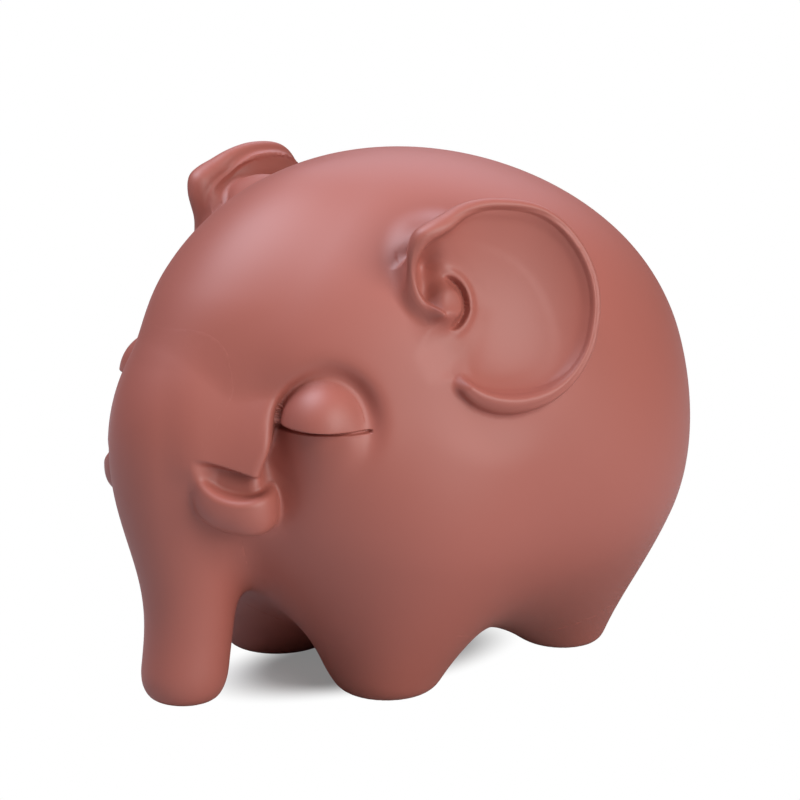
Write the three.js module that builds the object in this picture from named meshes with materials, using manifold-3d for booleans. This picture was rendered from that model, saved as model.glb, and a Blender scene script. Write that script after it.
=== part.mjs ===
// Elephant tea pet: a hollow ornament of unglazed red clay, luted together from hand-formed pieces.
// Millimetres. X points to the elephant's left, Y to its tail, Z up, and the soles rest at Z = 0.
import * as THREE from 'three';
import { mergeVertices } from 'three/addons/utils/BufferGeometryUtils.js';
import Module from 'manifold-3d';

const wasm = await Module();
wasm.setup();

// Body and head: two eggs that run into each other, pressed in a mould as a left and a right half
const bodyCentre = new THREE.Vector3(0, 6.2, 31.2);
const bodyHalfWidth = 28.6;
const bodyHalfLength = 29.9;
const bodyHalfHeight = 26.6;
const headCentre = new THREE.Vector3(0, -8.1, 34.1);
const headHalfWidth = 19.9;
const headHalfLength = 23.9;
const headHalfHeight = 23;
const headBlend = 14.5;
const wall = 4;
const ventRadius = 3.2;
const ventSetBack = 4;

// Legs: short tapered stubs with flat soles, let into flat-floored pockets under the body
const frontLeg = { spread: 11, along: -9.7, footRadius: 6.6, hipSpread: 13.6, hipAlong: -8.4,
  hipHeight: 21.6, hipRadius: 10.8, seatRadius: 10.2 };
const rearLeg = { spread: 9.3, along: 18.4, footRadius: 5.2, hipSpread: 12.7, hipAlong: 12.8,
  hipHeight: 22.7, hipRadius: 12.6, seatRadius: 8.8 };
const legBlend = 10;
const soleDrop = 0.7;
const legSeatHeight = 8.6;

// Trunk: one limb from the forehead to the table, laid over the face
const trunkRootSetBack = 9.6;
const trunkRootRise = 11;
const trunkRootRadius = 9;
const trunkBridgeSetBack = 3.6;
const trunkBridgeHeight = 32.5;
const trunkBridgeRadius = 8.6;
const trunkLipSetBack = 1.8;
const trunkLipHeight = 26.5;
const trunkLipRadius = 8.1;
const trunkWaistSetBack = 2.6;
const trunkWaistHeight = 14;
const trunkWaistRadius = 5.5;
const trunkTipSetBack = 1.7;
const trunkTipRadius = 5;
const trunkBlend = 3.5;
const trunkBedMargin = 1.6;
const trunkBedDepth = 1.6;

// Ears: dished leaves with a rolled rim, rooted along the front edge and free at the back
const earBearing = 21;
const earElevation = 30;
const earStandOff = 1.7;
const earTilt = new THREE.Vector3(0.934, -0.258, 0.247).normalize();
const earHalfWidth = 10.7;
const earHalfHeight = 11.9;
const earFoldSwell = 2.3;
const earNotch = 1.4;
const earDish = 3.2;
const earThickness = 1.7;
const earRim = 1;
const earFoldTurn = 308;
const earFoldSpan = 24;
const earNotchTurn = 256;
const earNotchSpan = 20;
const earRootTurn = 275;
const earRootSpan = 52;

// Eyelids: half domes pressed into the face, closed along a sagging line
const eyeBearing = 48.7;
const eyeHeight = 34;
const lidHalfLength = 5.4;
const lidHeight = 5.8;
const lidBulge = 3.6;
const lidSink = 1.5;
const lidSag = 0.6;

// Tusks: blunt stubs beside the trunk
const tuskHeight = 27;
const tuskSetBack = 3.4;
const tuskRootRadius = 4.6;
const tuskLength = 4.4;
const tuskDroop = 1.6;
const tuskTipRadius = 3.1;

// Tail: a thin roll of clay lying down the rump
const tailRootHeight = 39;
const tailEndHeight = 22;
const tailRootRadius = 1.9;
const tailNeckRadius = 1.3;
const tailTuftRadius = 2;
const tailProud = 0.5;

// Slip joint left between one piece and the next
const slipGap = 0.3;
const beyond = 90;

const ACROSS = new THREE.Vector3(1, 0, 0);
const UP = new THREE.Vector3(0, 0, 1);
const clay = { color: 0x9c564c, roughness: 0.62, metalness: 0 };

// Fields: negative inside a form, positive outside, close to a distance near its skin
function egg(centre, halfWidth, halfLength, halfHeight) {
  const least = Math.min(halfWidth, halfLength, halfHeight);
  return (p) => {
    const x = (p.x - centre.x) / halfWidth;
    const y = (p.y - centre.y) / halfLength;
    const z = (p.z - centre.z) / halfHeight;
    const near = Math.hypot(x, y, z);
    const steep = Math.hypot(x / halfWidth, y / halfLength, z / halfHeight);
    return near < 1e-6 ? -least : (near * (near - 1)) / steep;
  };
}

function taper(start, end, startRadius, endRadius) {
  const axis = new THREE.Vector3().subVectors(end, start);
  const length = axis.length();
  axis.divideScalar(length);
  const slope = (startRadius - endRadius) / length;
  const lean = Math.sqrt(1 - slope * slope);
  const offset = new THREE.Vector3();
  return (p) => {
    offset.subVectors(p, start);
    const along = offset.dot(axis);
    const out = Math.sqrt(Math.max(offset.lengthSq() - along * along, 0));
    const foot = along - (out * slope) / lean;
    if (foot <= 0) return Math.hypot(along, out) - startRadius;
    if (foot >= length) return Math.hypot(along - length, out) - endRadius;
    return out * lean + along * slope - startRadius;
  };
}

function softUnion(a, b, blend) {
  return (p) => {
    const first = a(p);
    const second = b(p);
    const share = Math.max(blend - Math.abs(first - second), 0) / blend;
    return Math.min(first, second) - (share * share * blend) / 4;
  };
}

function union(...fields) {
  return (p) => Math.min(...fields.map((field) => field(p)));
}

function overlapOf(a, b) {
  return (p) => Math.max(a(p), b(p));
}

function grown(field, amount) {
  return (p) => field(p) - amount;
}

function bothSides(field) {
  const folded = new THREE.Vector3();
  return (p) => field(folded.set(Math.abs(p.x), p.y, p.z));
}

function skinDistance(field, origin, direction, reach) {
  const p = new THREE.Vector3();
  const caution = 0.7;
  let inside = 0;
  let outside = reach;
  for (let step = 0; step < 120; step += 1) {
    const value = field(p.copy(origin).addScaledVector(direction, inside));
    if (value > -1e-3) break;
    const next = inside - value * caution;
    if (next >= reach && field(p.copy(origin).addScaledVector(direction, reach)) < 0) return reach;
    if (field(p.copy(origin).addScaledVector(direction, next)) > 0) {
      outside = next;
      break;
    }
    inside = next;
  }
  for (let step = 0; step < 24; step += 1) {
    const middle = (inside + outside) / 2;
    if (field(p.copy(origin).addScaledVector(direction, middle)) < 0) inside = middle;
    else outside = middle;
  }
  return (inside + outside) / 2;
}

function skinNormal(field, place) {
  const reach = 0.01;
  const slope = (axis) => {
    const ahead = place.clone();
    const behind = place.clone();
    ahead[axis] += reach;
    behind[axis] -= reach;
    return field(ahead) - field(behind);
  };
  return new THREE.Vector3(slope('x'), slope('y'), slope('z')).normalize();
}

// A closed skin drawn round a spine: each ring's points are pushed out to where the field is zero
function drawSkin(field, spine, { rings, caps, sides, reach = beyond, across = ACROSS }) {
  const points = [];
  const cast = (at, tilt, turn) => {
    const origin = spine.getPoint(at);
    const tangent = spine.getTangent(at);
    const right = across.clone().addScaledVector(tangent, -across.dot(tangent)).normalize();
    const rise = new THREE.Vector3().crossVectors(tangent, right);
    const direction = tangent.multiplyScalar(Math.sin(tilt));
    direction.addScaledVector(right, Math.cos(tilt) * Math.cos(turn));
    direction.addScaledVector(rise, Math.cos(tilt) * Math.sin(turn));
    points.push(origin.addScaledVector(direction, skinDistance(field, origin.clone(), direction, reach)));
  };
  const rows = [];
  for (let row = 1; row <= caps; row += 1) rows.push([0, (-Math.PI / 2) * (1 - row / caps)]);
  for (let row = 1; row < rings; row += 1) rows.push([row / rings, 0]);
  for (let row = 0; row < caps; row += 1) rows.push([1, (Math.PI / 2) * (row / caps)]);
  cast(0, -Math.PI / 2, 0);
  for (const [at, tilt] of rows) {
    for (let side = 0; side < sides; side += 1) cast(at, tilt, (side / sides) * Math.PI * 2);
  }
  cast(1, Math.PI / 2, 0);
  return closedGrid(points, rows.length, sides);
}

// Triangles for a first point, rows of points that go round, and a last point
function closedGrid(points, rows, sides) {
  const index = [];
  const at = (row, side) => 1 + row * sides + (side % sides);
  const last = points.length - 1;
  for (let side = 0; side < sides; side += 1) {
    index.push(0, at(0, side + 1), at(0, side));
    index.push(last, at(rows - 1, side), at(rows - 1, side + 1));
    for (let row = 0; row + 1 < rows; row += 1) {
      index.push(at(row, side), at(row, side + 1), at(row + 1, side + 1));
      index.push(at(row, side), at(row + 1, side + 1), at(row + 1, side));
    }
  }
  const geometry = new THREE.BufferGeometry().setFromPoints(points);
  geometry.setIndex(index);
  return geometry;
}

function solid(geometry) {
  const bare = geometry.clone();
  bare.deleteAttribute('normal');
  bare.deleteAttribute('uv');
  const merged = mergeVertices(bare, 1e-4);
  return new wasm.Manifold(new wasm.Mesh({
    numProp: 3,
    vertProperties: new Float32Array(merged.attributes.position.array),
    triVerts: new Uint32Array(merged.index.array),
  }));
}

function geometryOf(body) {
  const mesh = body.getMesh();
  const geometry = new THREE.BufferGeometry();
  geometry.setAttribute('position', new THREE.BufferAttribute(new Float32Array(mesh.vertProperties), 3));
  geometry.setIndex(new THREE.BufferAttribute(new Uint32Array(mesh.triVerts), 1));
  return geometry;
}

function mirrored(geometry) {
  const other = geometry.clone();
  other.scale(-1, 1, 1);
  const index = other.index.array;
  for (let corner = 0; corner < index.length; corner += 3) {
    [index[corner], index[corner + 1]] = [index[corner + 1], index[corner]];
  }
  return other;
}

function block(low, high) {
  const size = new THREE.Vector3().subVectors(high, low);
  const middle = new THREE.Vector3().addVectors(low, high).multiplyScalar(0.5);
  return solid(new THREE.BoxGeometry(size.x, size.y, size.z).translate(middle.x, middle.y, middle.z));
}

function uprightPlug(x, y, radius, low, high, sides) {
  const profile = [new THREE.Vector2(0, low), new THREE.Vector2(radius, low),
    new THREE.Vector2(radius, high), new THREE.Vector2(0, high)];
  return solid(new THREE.LatheGeometry(profile, sides).rotateX(Math.PI / 2).translate(x, y, 0));
}

// The forms that make the outer skin
const bodyEgg = egg(bodyCentre, bodyHalfWidth, bodyHalfLength, bodyHalfHeight);
const headEgg = egg(headCentre, headHalfWidth, headHalfLength, headHalfHeight);
const torso = softUnion(bodyEgg, headEgg, headBlend);
const muzzle = headCentre.y - headHalfLength;
const torsoSpine = new THREE.LineCurve3(headCentre.clone(), bodyCentre.clone());

function legField(leg) {
  const foot = new THREE.Vector3(leg.spread, leg.along, leg.footRadius * soleDrop);
  const hip = new THREE.Vector3(leg.hipSpread, leg.hipAlong, leg.hipHeight);
  return taper(hip, foot, leg.hipRadius, leg.footRadius);
}

const legs = bothSides(union(legField(frontLeg), legField(rearLeg)));
const torsoAndLegs = softUnion(torso, legs, legBlend);

// Trunk stations, from the forehead to the table
const trunkStations = [
  [trunkRootSetBack, headCentre.z + trunkRootRise, trunkRootRadius],
  [trunkBridgeSetBack, trunkBridgeHeight, trunkBridgeRadius],
  [trunkLipSetBack, trunkLipHeight, trunkLipRadius],
  [trunkWaistSetBack, trunkWaistHeight, trunkWaistRadius],
  [trunkTipSetBack, trunkTipRadius, trunkTipRadius],
].map(([setBack, height, radius]) => ({ place: new THREE.Vector3(0, muzzle + setBack, height), radius }));
const trunkSpine = new THREE.CatmullRomCurve3(trunkStations.map((station) => station.place), false);
const trunkRadii = new THREE.SplineCurve(trunkStations.map(({ radius }, step) => new THREE.Vector2(step, radius)));

// A round limb along a spine, its radius read from a curve with the same stations
function limbField(spine, radii, steps) {
  const parts = [];
  for (let step = 0; step < steps; step += 1) {
    const start = step / steps;
    const end = (step + 1) / steps;
    parts.push(taper(spine.getPoint(start), spine.getPoint(end), radii.getPoint(start).y, radii.getPoint(end).y));
  }
  return union(...parts);
}

const trunkLimb = limbField(trunkSpine, trunkRadii, 16);
const torsoAndTrunk = softUnion(torso, trunkLimb, trunkBlend);
const ground = block(new THREE.Vector3(-beyond, -beyond, -beyond), new THREE.Vector3(beyond, beyond, 0));

// Leg pockets: upright round holes with flat floors, one gap wider than the leg's own plug
function legPlug(leg, gap) {
  return uprightPlug(leg.spread, leg.along, leg.seatRadius + gap, -beyond, legSeatHeight + gap, 24);
}

function legGeometry(leg) {
  const foot = new THREE.Vector3(leg.spread, leg.along, leg.footRadius * soleDrop);
  const hip = new THREE.Vector3(leg.hipSpread, leg.hipAlong, leg.hipHeight);
  const spine = new THREE.LineCurve3(hip, foot);
  const past = leg.seatRadius * 1.2;
  const post = (p) => Math.hypot(p.x - leg.spread, p.y - leg.along) - past;
  const skin = solid(drawSkin(overlapOf(torsoAndLegs, post), spine, { rings: 8, caps: 4, sides: 24 }));
  return geometryOf(skin.intersect(legPlug(leg, 0)).subtract(ground));
}

const bodyDetail = { rings: 6, caps: 12, sides: 40 };
const trunkDetail = { rings: 18, caps: 4, sides: 28 };

function bodySkin(field, amount) {
  return solid(drawSkin(grown(field, amount), torsoSpine, bodyDetail));
}

const trunkBed = bodySkin(torso, -trunkBedDepth);
const trunkBedFloor = bodySkin(torso, -trunkBedDepth - slipGap);

// Trunk bed: the room that the limb takes with a margin round it, sunk a little into the face
function trunkRoom(gap) {
  return solid(drawSkin(grown(trunkLimb, trunkBedMargin + gap), trunkSpine, trunkDetail));
}

function trunkGeometry() {
  const skin = drawSkin(overlapOf(torsoAndTrunk, grown(trunkLimb, trunkBedMargin)), trunkSpine, trunkDetail);
  return geometryOf(solid(skin).subtract(trunkBed).subtract(ground));
}

// Ear: polar rows from the bottom of the dish, over the rolled rim and back under the leaf
const earDirection = new THREE.Vector3(
  Math.cos(THREE.MathUtils.degToRad(earElevation)) * Math.cos(THREE.MathUtils.degToRad(earBearing)),
  -Math.cos(THREE.MathUtils.degToRad(earElevation)) * Math.sin(THREE.MathUtils.degToRad(earBearing)),
  Math.sin(THREE.MathUtils.degToRad(earElevation)),
);
const earSeat = bodyCentre.clone().addScaledVector(
  earDirection,
  skinDistance(torso, bodyCentre, earDirection, beyond),
);
const earCentre = earSeat.clone().addScaledVector(earTilt, earStandOff);
const earUp = UP.clone().addScaledVector(earTilt, -UP.dot(earTilt)).normalize();
const earBack = new THREE.Vector3().crossVectors(earUp, earTilt);

// Share of the rim's own radius that stands above the skin where the ear is rooted, and above the leaf
const rimProud = 0.7;
const rimLift = 0.4;

function hump(angle, middle, width) {
  const turn = THREE.MathUtils.euclideanModulo(angle - middle + 180, 360) - 180;
  return Math.exp(-((turn / width) ** 2));
}

function earPoint(across, up, height) {
  const place = earCentre.clone().addScaledVector(earBack, across).addScaledVector(earUp, up);
  return place.addScaledVector(earTilt, height);
}

// Height of the body's skin over the ear's own plane, looking down on the dish
function skinUnderEar(across, up) {
  const lookout = bodyHalfWidth;
  const outside = earPoint(across, up, lookout);
  const inward = earTilt.clone().negate();
  return lookout - skinDistance((p) => -torso(p), outside, inward, beyond);
}

function earOutline(degrees) {
  const turn = THREE.MathUtils.degToRad(degrees);
  const oval = 1 / Math.hypot(Math.sin(turn) / earHalfWidth, Math.cos(turn) / earHalfHeight);
  const radius = oval + earFoldSwell * hump(degrees, earFoldTurn, earFoldSpan)
    - earNotch * hump(degrees, earNotchTurn, earNotchSpan);
  const across = Math.sin(turn) * radius;
  const up = Math.cos(turn) * radius;
  const rooted = hump(degrees, earRootTurn, earRootSpan);
  const height = rooted * (skinUnderEar(across, up) + earRim * rimProud);
  return { across, up, height };
}

function earGeometry(gap, domed) {
  const sides = 30;
  const outline = [];
  for (let side = 0; side < sides; side += 1) outline.push(earOutline((-360 * side) / sides));
  const points = [];
  const addRow = (share, height) => {
    for (const rim of outline) {
      points.push(earPoint(rim.across * share, rim.up * share, rim.height * share * share + height(share, rim)));
    }
  };
  const dish = (share) => -earDish * (1 - share ** 2) ** 0.8;
  const front = (share) => (domed ? domed * (1 - share ** 2) ** 0.5 : dish(share));
  const back = (share) => dish(share) - earThickness - gap;
  points.push(earPoint(0, 0, back(0)));
  const backShares = [0.25, 0.5, 0.72, 0.9];
  const rimTurns = [-70, -30, 10, 50, 90];
  const frontShares = [0.84, 0.62, 0.36];
  for (const share of backShares) addRow(share, back);
  const rimReach = (earRim + gap) / earHalfWidth;
  for (const turn of rimTurns) {
    const swing = THREE.MathUtils.degToRad(turn);
    const middle = 1 - earRim / earHalfWidth;
    addRow(middle + rimReach * Math.cos(swing), () => (earRim + gap) * (Math.sin(swing) - rimLift));
  }
  for (const share of frontShares) addRow(share, front);
  points.push(earPoint(0, 0, front(0)));
  return closedGrid(points, backShares.length + rimTurns.length + frontShares.length, sides);
}

// Eyelid: the upper half of a flattened egg, standing on the closed line of the eye
const eyeDirection = new THREE.Vector3(
  Math.sin(THREE.MathUtils.degToRad(eyeBearing)),
  -Math.cos(THREE.MathUtils.degToRad(eyeBearing)),
  0,
);
const eyeOrigin = new THREE.Vector3(0, headCentre.y, eyeHeight);
const eyePlace = eyeOrigin.clone().addScaledVector(
  eyeDirection,
  skinDistance(torso, eyeOrigin, eyeDirection, beyond),
);
const eyeOut = skinNormal(torso, eyePlace);
const eyeAlong = new THREE.Vector3().crossVectors(UP, eyeOut).normalize();
const eyeUp = new THREE.Vector3().crossVectors(eyeOut, eyeAlong);
const lidMiddle = eyePlace.clone().addScaledVector(eyeOut, -lidSink);

function lidField(gap) {
  const offset = new THREE.Vector3();
  const local = new THREE.Vector3();
  const origin = new THREE.Vector3();
  const dome = egg(origin, lidHalfLength + gap, lidBulge + gap, lidHeight + gap);
  return (p) => {
    offset.subVectors(p, lidMiddle);
    local.set(offset.dot(eyeAlong), offset.dot(eyeOut), offset.dot(eyeUp));
    const line = -lidSag * (1 - (local.x / lidHalfLength) ** 2) - gap - local.z;
    return Math.max(dome(local), line);
  };
}

function lidGeometry(gap) {
  const half = lidHalfLength / 2;
  const heart = lidMiddle.clone().addScaledVector(eyeUp, lidHeight / 3);
  const spine = new THREE.LineCurve3(
    heart.clone().addScaledVector(eyeAlong, -half),
    heart.clone().addScaledVector(eyeAlong, half),
  );
  return drawSkin(lidField(gap), spine, { rings: 4, caps: 3, sides: 16, reach: beyond, across: UP });
}

// Tusk: a blunt round stub, bedded against the trunk and the cheek
const tuskRoot = new THREE.Vector3(trunkLipRadius + 0.7, muzzle + tuskSetBack, tuskHeight);
const tuskTip = tuskRoot.clone().add(new THREE.Vector3(tuskLength, 0, -tuskDroop));
const tusk = taper(tuskRoot, tuskTip, tuskRootRadius, tuskTipRadius);

function tuskGeometry() {
  const spine = new THREE.LineCurve3(tuskRoot, tuskTip);
  const skin = solid(drawSkin(tusk, spine, { rings: 3, caps: 4, sides: 14, reach: beyond, across: UP }));
  const cleared = grown(torsoAndTrunk, slipGap);
  const clearedTrunk = solid(drawSkin(cleared, trunkSpine, trunkDetail));
  return geometryOf(skin.subtract(clearedTrunk).subtract(bodySkin(torsoAndLegs, slipGap)));
}

// Tail: follows the rump from its root to the tuft
function tailGeometry() {
  const radii = [tailRootRadius, tailNeckRadius, tailNeckRadius, tailTuftRadius];
  const places = radii.map((radius, step) => {
    const height = THREE.MathUtils.lerp(tailRootHeight, tailEndHeight, step / (radii.length - 1));
    const inside = new THREE.Vector3(0, bodyCentre.y, height);
    const rump = skinDistance(torso, inside, new THREE.Vector3(0, 1, 0), beyond);
    return new THREE.Vector3(0, bodyCentre.y + rump + tailProud, height);
  });
  const spine = new THREE.CatmullRomCurve3(places);
  const radiusCurve = new THREE.SplineCurve(radii.map((radius, step) => new THREE.Vector2(step, radius)));
  const limb = limbField(spine, radiusCurve, 9);
  const skin = solid(drawSkin(limb, spine, { rings: 9, caps: 3, sides: 12 }));
  return geometryOf(skin.subtract(bodySkin(torsoAndLegs, slipGap)));
}

// Body half: the outer skin less the hollow, the vent and the beds of the pieces luted on
function bodyHalfGeometry() {
  const outer = bodySkin(torsoAndLegs, 0);
  const earPad = egg(earSeat, earHalfWidth, earHalfWidth, earHalfWidth);
  const hollowField = (p) => Math.max(torso(p) + wall, -bothSides(earPad)(p));
  const hollow = solid(drawSkin(hollowField, torsoSpine, { rings: 3, caps: 6, sides: 20 }));
  const vent = uprightPlug(0, bodyCentre.y + ventSetBack, ventRadius, -beyond, bodyCentre.z, 24);
  const earBed = solid(earGeometry(slipGap, earHalfWidth));
  const lidBed = solid(lidGeometry(slipGap));
  const trunkPocket = trunkRoom(slipGap).subtract(trunkBedFloor);
  const leftSide = block(new THREE.Vector3(0, -beyond, -beyond), new THREE.Vector3(beyond, beyond, beyond));
  const half = outer.intersect(leftSide)
    .subtract(hollow)
    .subtract(vent)
    .subtract(legPlug(frontLeg, slipGap))
    .subtract(legPlug(rearLeg, slipGap))
    .subtract(trunkPocket)
    .subtract(earBed)
    .subtract(lidBed);
  return geometryOf(half);
}

const elephant = new THREE.Group();

function addPiece(name, geometry) {
  const mesh = new THREE.Mesh(geometry, new THREE.MeshStandardMaterial(clay));
  mesh.name = name;
  elephant.add(mesh);
}

function addPair(name, geometry) {
  addPiece(`${name}_left`, geometry);
  addPiece(`${name}_right`, mirrored(geometry));
}

addPair('body_shell', bodyHalfGeometry());
addPiece('trunk', trunkGeometry());
addPair('leg_front', legGeometry(frontLeg));
addPair('leg_rear', legGeometry(rearLeg));
addPair('ear', geometryOf(solid(earGeometry(0, 0))));
addPair('eyelid', geometryOf(solid(lidGeometry(0))));
addPair('tusk', tuskGeometry());
addPiece('tail', tailGeometry());

export default elephant;
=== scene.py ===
# Elephant tea pet in unglazed red clay: its fine form and finish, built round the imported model.
# Metres. X points to the elephant's left, Y to its tail, Z up, and the soles rest at Z = 0.
import math

import bpy
import numpy as np
from bpy.props import FloatProperty, FloatVectorProperty, PointerProperty
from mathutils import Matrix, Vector

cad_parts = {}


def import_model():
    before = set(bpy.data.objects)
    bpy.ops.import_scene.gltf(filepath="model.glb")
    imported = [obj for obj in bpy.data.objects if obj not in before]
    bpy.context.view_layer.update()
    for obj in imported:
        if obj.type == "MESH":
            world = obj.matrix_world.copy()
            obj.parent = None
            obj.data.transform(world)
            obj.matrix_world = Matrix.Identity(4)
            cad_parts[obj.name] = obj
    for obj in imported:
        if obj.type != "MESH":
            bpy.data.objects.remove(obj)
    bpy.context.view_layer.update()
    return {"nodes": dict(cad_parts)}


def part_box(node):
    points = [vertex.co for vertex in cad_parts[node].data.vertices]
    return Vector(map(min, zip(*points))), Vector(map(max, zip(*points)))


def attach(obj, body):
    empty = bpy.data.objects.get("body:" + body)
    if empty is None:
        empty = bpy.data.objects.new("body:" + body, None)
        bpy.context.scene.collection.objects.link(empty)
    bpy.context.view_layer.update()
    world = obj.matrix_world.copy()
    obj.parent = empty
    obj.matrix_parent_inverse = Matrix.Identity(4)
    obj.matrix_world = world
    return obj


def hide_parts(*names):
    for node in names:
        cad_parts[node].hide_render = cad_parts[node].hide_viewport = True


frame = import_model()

bl_info = {
    "name": "Elephant tea pet",
    "version": (1, 0, 0),
    "blender": (4, 5, 0),
    "location": "3D View > Sidebar > Elephant",
    "description": "Builds the fine form and the clay finish of a small hollow elephant",
    "category": "Object",
}

MM = 0.001
CLAY_SLOT = "red_clay"
LUMP = "clay_lump"


# Property makers, all lengths written in millimetres and kept in metres
def length(name, description, millimetres):
    return FloatProperty(name=name, description=description, default=millimetres * MM,
                         unit="LENGTH", subtype="DISTANCE", precision=5)


def spot(name, description, x, y, z):
    return FloatVectorProperty(name=name, description=description, size=3, unit="LENGTH",
                               default=(x * MM, y * MM, z * MM), subtype="TRANSLATION")


def tint(name, description, red, green, blue):
    return FloatVectorProperty(name=name, description=description, size=3, subtype="COLOR",
                               default=(red, green, blue), min=0.0, max=1.0)


def share(name, description, value):
    return FloatProperty(name=name, description=description, default=value, min=0.0, max=1.0,
                         subtype="FACTOR")


def angle(name, description, degrees):
    return FloatProperty(name=name, description=description, default=math.radians(degrees),
                         unit="ROTATION", subtype="ANGLE")


def number(name, description, value):
    return FloatProperty(name=name, description=description, default=value)


class BodySizes(bpy.types.PropertyGroup):
    """Body, head and legs."""
    body_centre: spot("Body centre", "Middle of the body's egg", 0, 6.2, 31.2)
    body_halves: spot("Body halves", "Half width, length and height of the body", 28.6, 29.9, 26.6)
    head_centre: spot("Head centre", "Middle of the head's egg", 0, -8.1, 34.1)
    head_halves: spot("Head halves", "Half width, length and height of the head", 19.9, 23.9, 23)
    head_blend: length("Head blend", "How softly the head runs into the body", 14.5)
    front_foot: spot("Front foot", "Middle of the front foot's ball", 11, -9.7, 4.6)
    front_foot_radius: length("Front foot radius", "Radius of the front foot", 6.6)
    front_hip: spot("Front hip", "Middle of the front hip's ball", 13.6, -8.4, 21.6)
    front_hip_radius: length("Front hip radius", "Radius of the front hip", 10.8)
    rear_foot: spot("Rear foot", "Middle of the rear foot's ball", 9.3, 18.4, 3.6)
    rear_foot_radius: length("Rear foot radius", "Radius of the rear foot", 5.2)
    rear_hip: spot("Rear hip", "Middle of the rear hip's ball", 12.7, 12.8, 22.7)
    rear_hip_radius: length("Rear hip radius", "Radius of the rear hip", 12.6)
    leg_blend: length("Leg blend", "How softly the legs run into the belly", 10)
    sole_round: length("Sole rounding", "How softly a sole turns up into its leg", 1.2)
    front_seat_radius: length("Front seat radius", "Radius of the seat of a front leg", 10.2)
    rear_seat_radius: length("Rear seat radius", "Radius of the seat of a rear leg", 8.8)
    seat_height: length("Seat height", "Height at which a leg meets the body", 8.6)
    vent_radius: length("Vent radius", "Radius of the vent in the belly", 3.2)
    vent_place: length("Vent place", "Distance of the vent behind the middle", 10.2)
    grain: length("Grain", "Size of the mesh's squares", 0.5)


class FaceSizes(bpy.types.PropertyGroup):
    """Trunk, bridge, eyes and tusks."""
    trunk_blend: length("Trunk blend", "How softly the trunk runs into the face", 3.5)
    crown_blend: length("Crown blend", "How softly the trunk runs into the forehead", 4)
    flank_blend: length("Flank blend", "How softly the trunk runs into its own flank", 3)
    bridge_crease: length("Bridge crease", "Softness of the crease beside the flank", 0.7)
    ledge_height: length("Ledge height", "Height of the ledge over the tusk", 30.85)
    ledge_fall: number("Ledge fall", "How fast the ledge falls outwards", 0.18)
    ledge_bow: number("Ledge bow", "How fast that fall grows outwards", 9.0)
    ledge_step: length("Ledge step", "How far the face steps in under the ledge", 2.2)
    bridge_bearing: angle("Bridge bearing", "Turn of the flat side from straight ahead", 37.8)
    bridge_undercut: share("Bridge undercut", "How much the bridge's far side turns in", 0.3)
    eye_bearing: angle("Eye bearing", "Turn of the eye from straight ahead", 48.7)
    eye_height: length("Eye height", "Height of the closed line of the eye", 34)
    lid_half_length: length("Lid half length", "Half the length of the eyelid", 4.8)
    lid_height: length("Lid height", "Height of the eyelid over its closed line", 5.2)
    lid_proud: length("Lid proud", "How far the lid stands out of the face", 2.3)
    slit_half_length: length("Slit half length", "Half the length of the closed line", 5.5)
    slit_width: length("Slit width", "Half width of the slit at its inner end", 0.3)
    slit_depth: length("Slit depth", "Depth of the slit at its inner end", 1.0)
    socket_depth: length("Socket depth", "Depth of the hollow round the eye", 1.5)
    valley_depth: length("Valley depth", "Depth of the hollow beside the bridge", 2.8)
    cheek_rise: length("Cheek rise", "How far the cheek swells under the closed eye", 1.0)
    tusk_centre: spot("Tusk centre", "Middle of the tusk's ball", 9.65, -29.72, 25.9)
    tusk_bearing: angle("Tusk bearing", "Turn of the tusk from straight ahead", 37.8)
    tusk_tilt: number("Tusk tilt", "How fast the tusk falls outwards", 0.2)
    tusk_reach: length("Tusk reach", "Half length of the tusk along its own way out", 3.7)
    tusk_half_width: length("Tusk half width", "Half width of the tusk", 4.8)
    tusk_half_height: length("Tusk half height", "Half height of the tusk", 3.7)
    tusk_crease: length("Tusk crease", "Softness of the crease round the tusk", 0.5)


class EarSizes(bpy.types.PropertyGroup):
    """Ears: dished leaves with a rolled rim."""
    centre: spot("Ear centre", "Middle of the ear's own plane", 25.43, -3.47, 47)
    facing: FloatVectorProperty(name="Ear facing", description="The way that the left ear faces",
                                size=3, default=(0.934, -0.258, 0.247), subtype="DIRECTION")
    dish: length("Dish", "Depth of the bowl", 2.6)
    thickness: length("Thickness", "Thickness of the leaf", 1.7)
    rim: length("Rim", "Radius of the rolled rim", 0.75)


class ClayFinish(bpy.types.PropertyGroup):
    """Colours and roughness of the fired clay."""
    clay: tint("Clay", "Main colour of the clay", 0.335, 0.08, 0.077)
    warm: tint("Warm clay", "Colour where the clay was fired warmer", 0.36, 0.087, 0.064)
    # The deep colour is laid at random in mottles and in the grain, and into the pores as painted
    # shade.
    deep: tint("Deep clay", "Colour in hollows and rubbed places", 0.25, 0.05, 0.044)
    speck: tint("Speck", "Colour of the sand grains", 0.78, 0.5, 0.38)
    roughness: share("Roughness", "Roughness of the smoothed clay", 0.46)
    refraction: number("Refraction", "Index of refraction of the clay's skin", 1.85)
    mottling: share("Mottling", "How strongly the clay is mottled", 0.18)
    graininess: share("Graininess", "How dark the grain of the clay is", 0.3)
    speckling: share("Speckling", "How clearly the sand grains show", 0.75)
    # Painted shade: how far the pores are darkened towards the deep colour.
    pore_shade: share("Pitting", "How dark the pores are", 0.5)
    relief: share("Relief", "Strength of the fine relief", 0.4)


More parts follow.
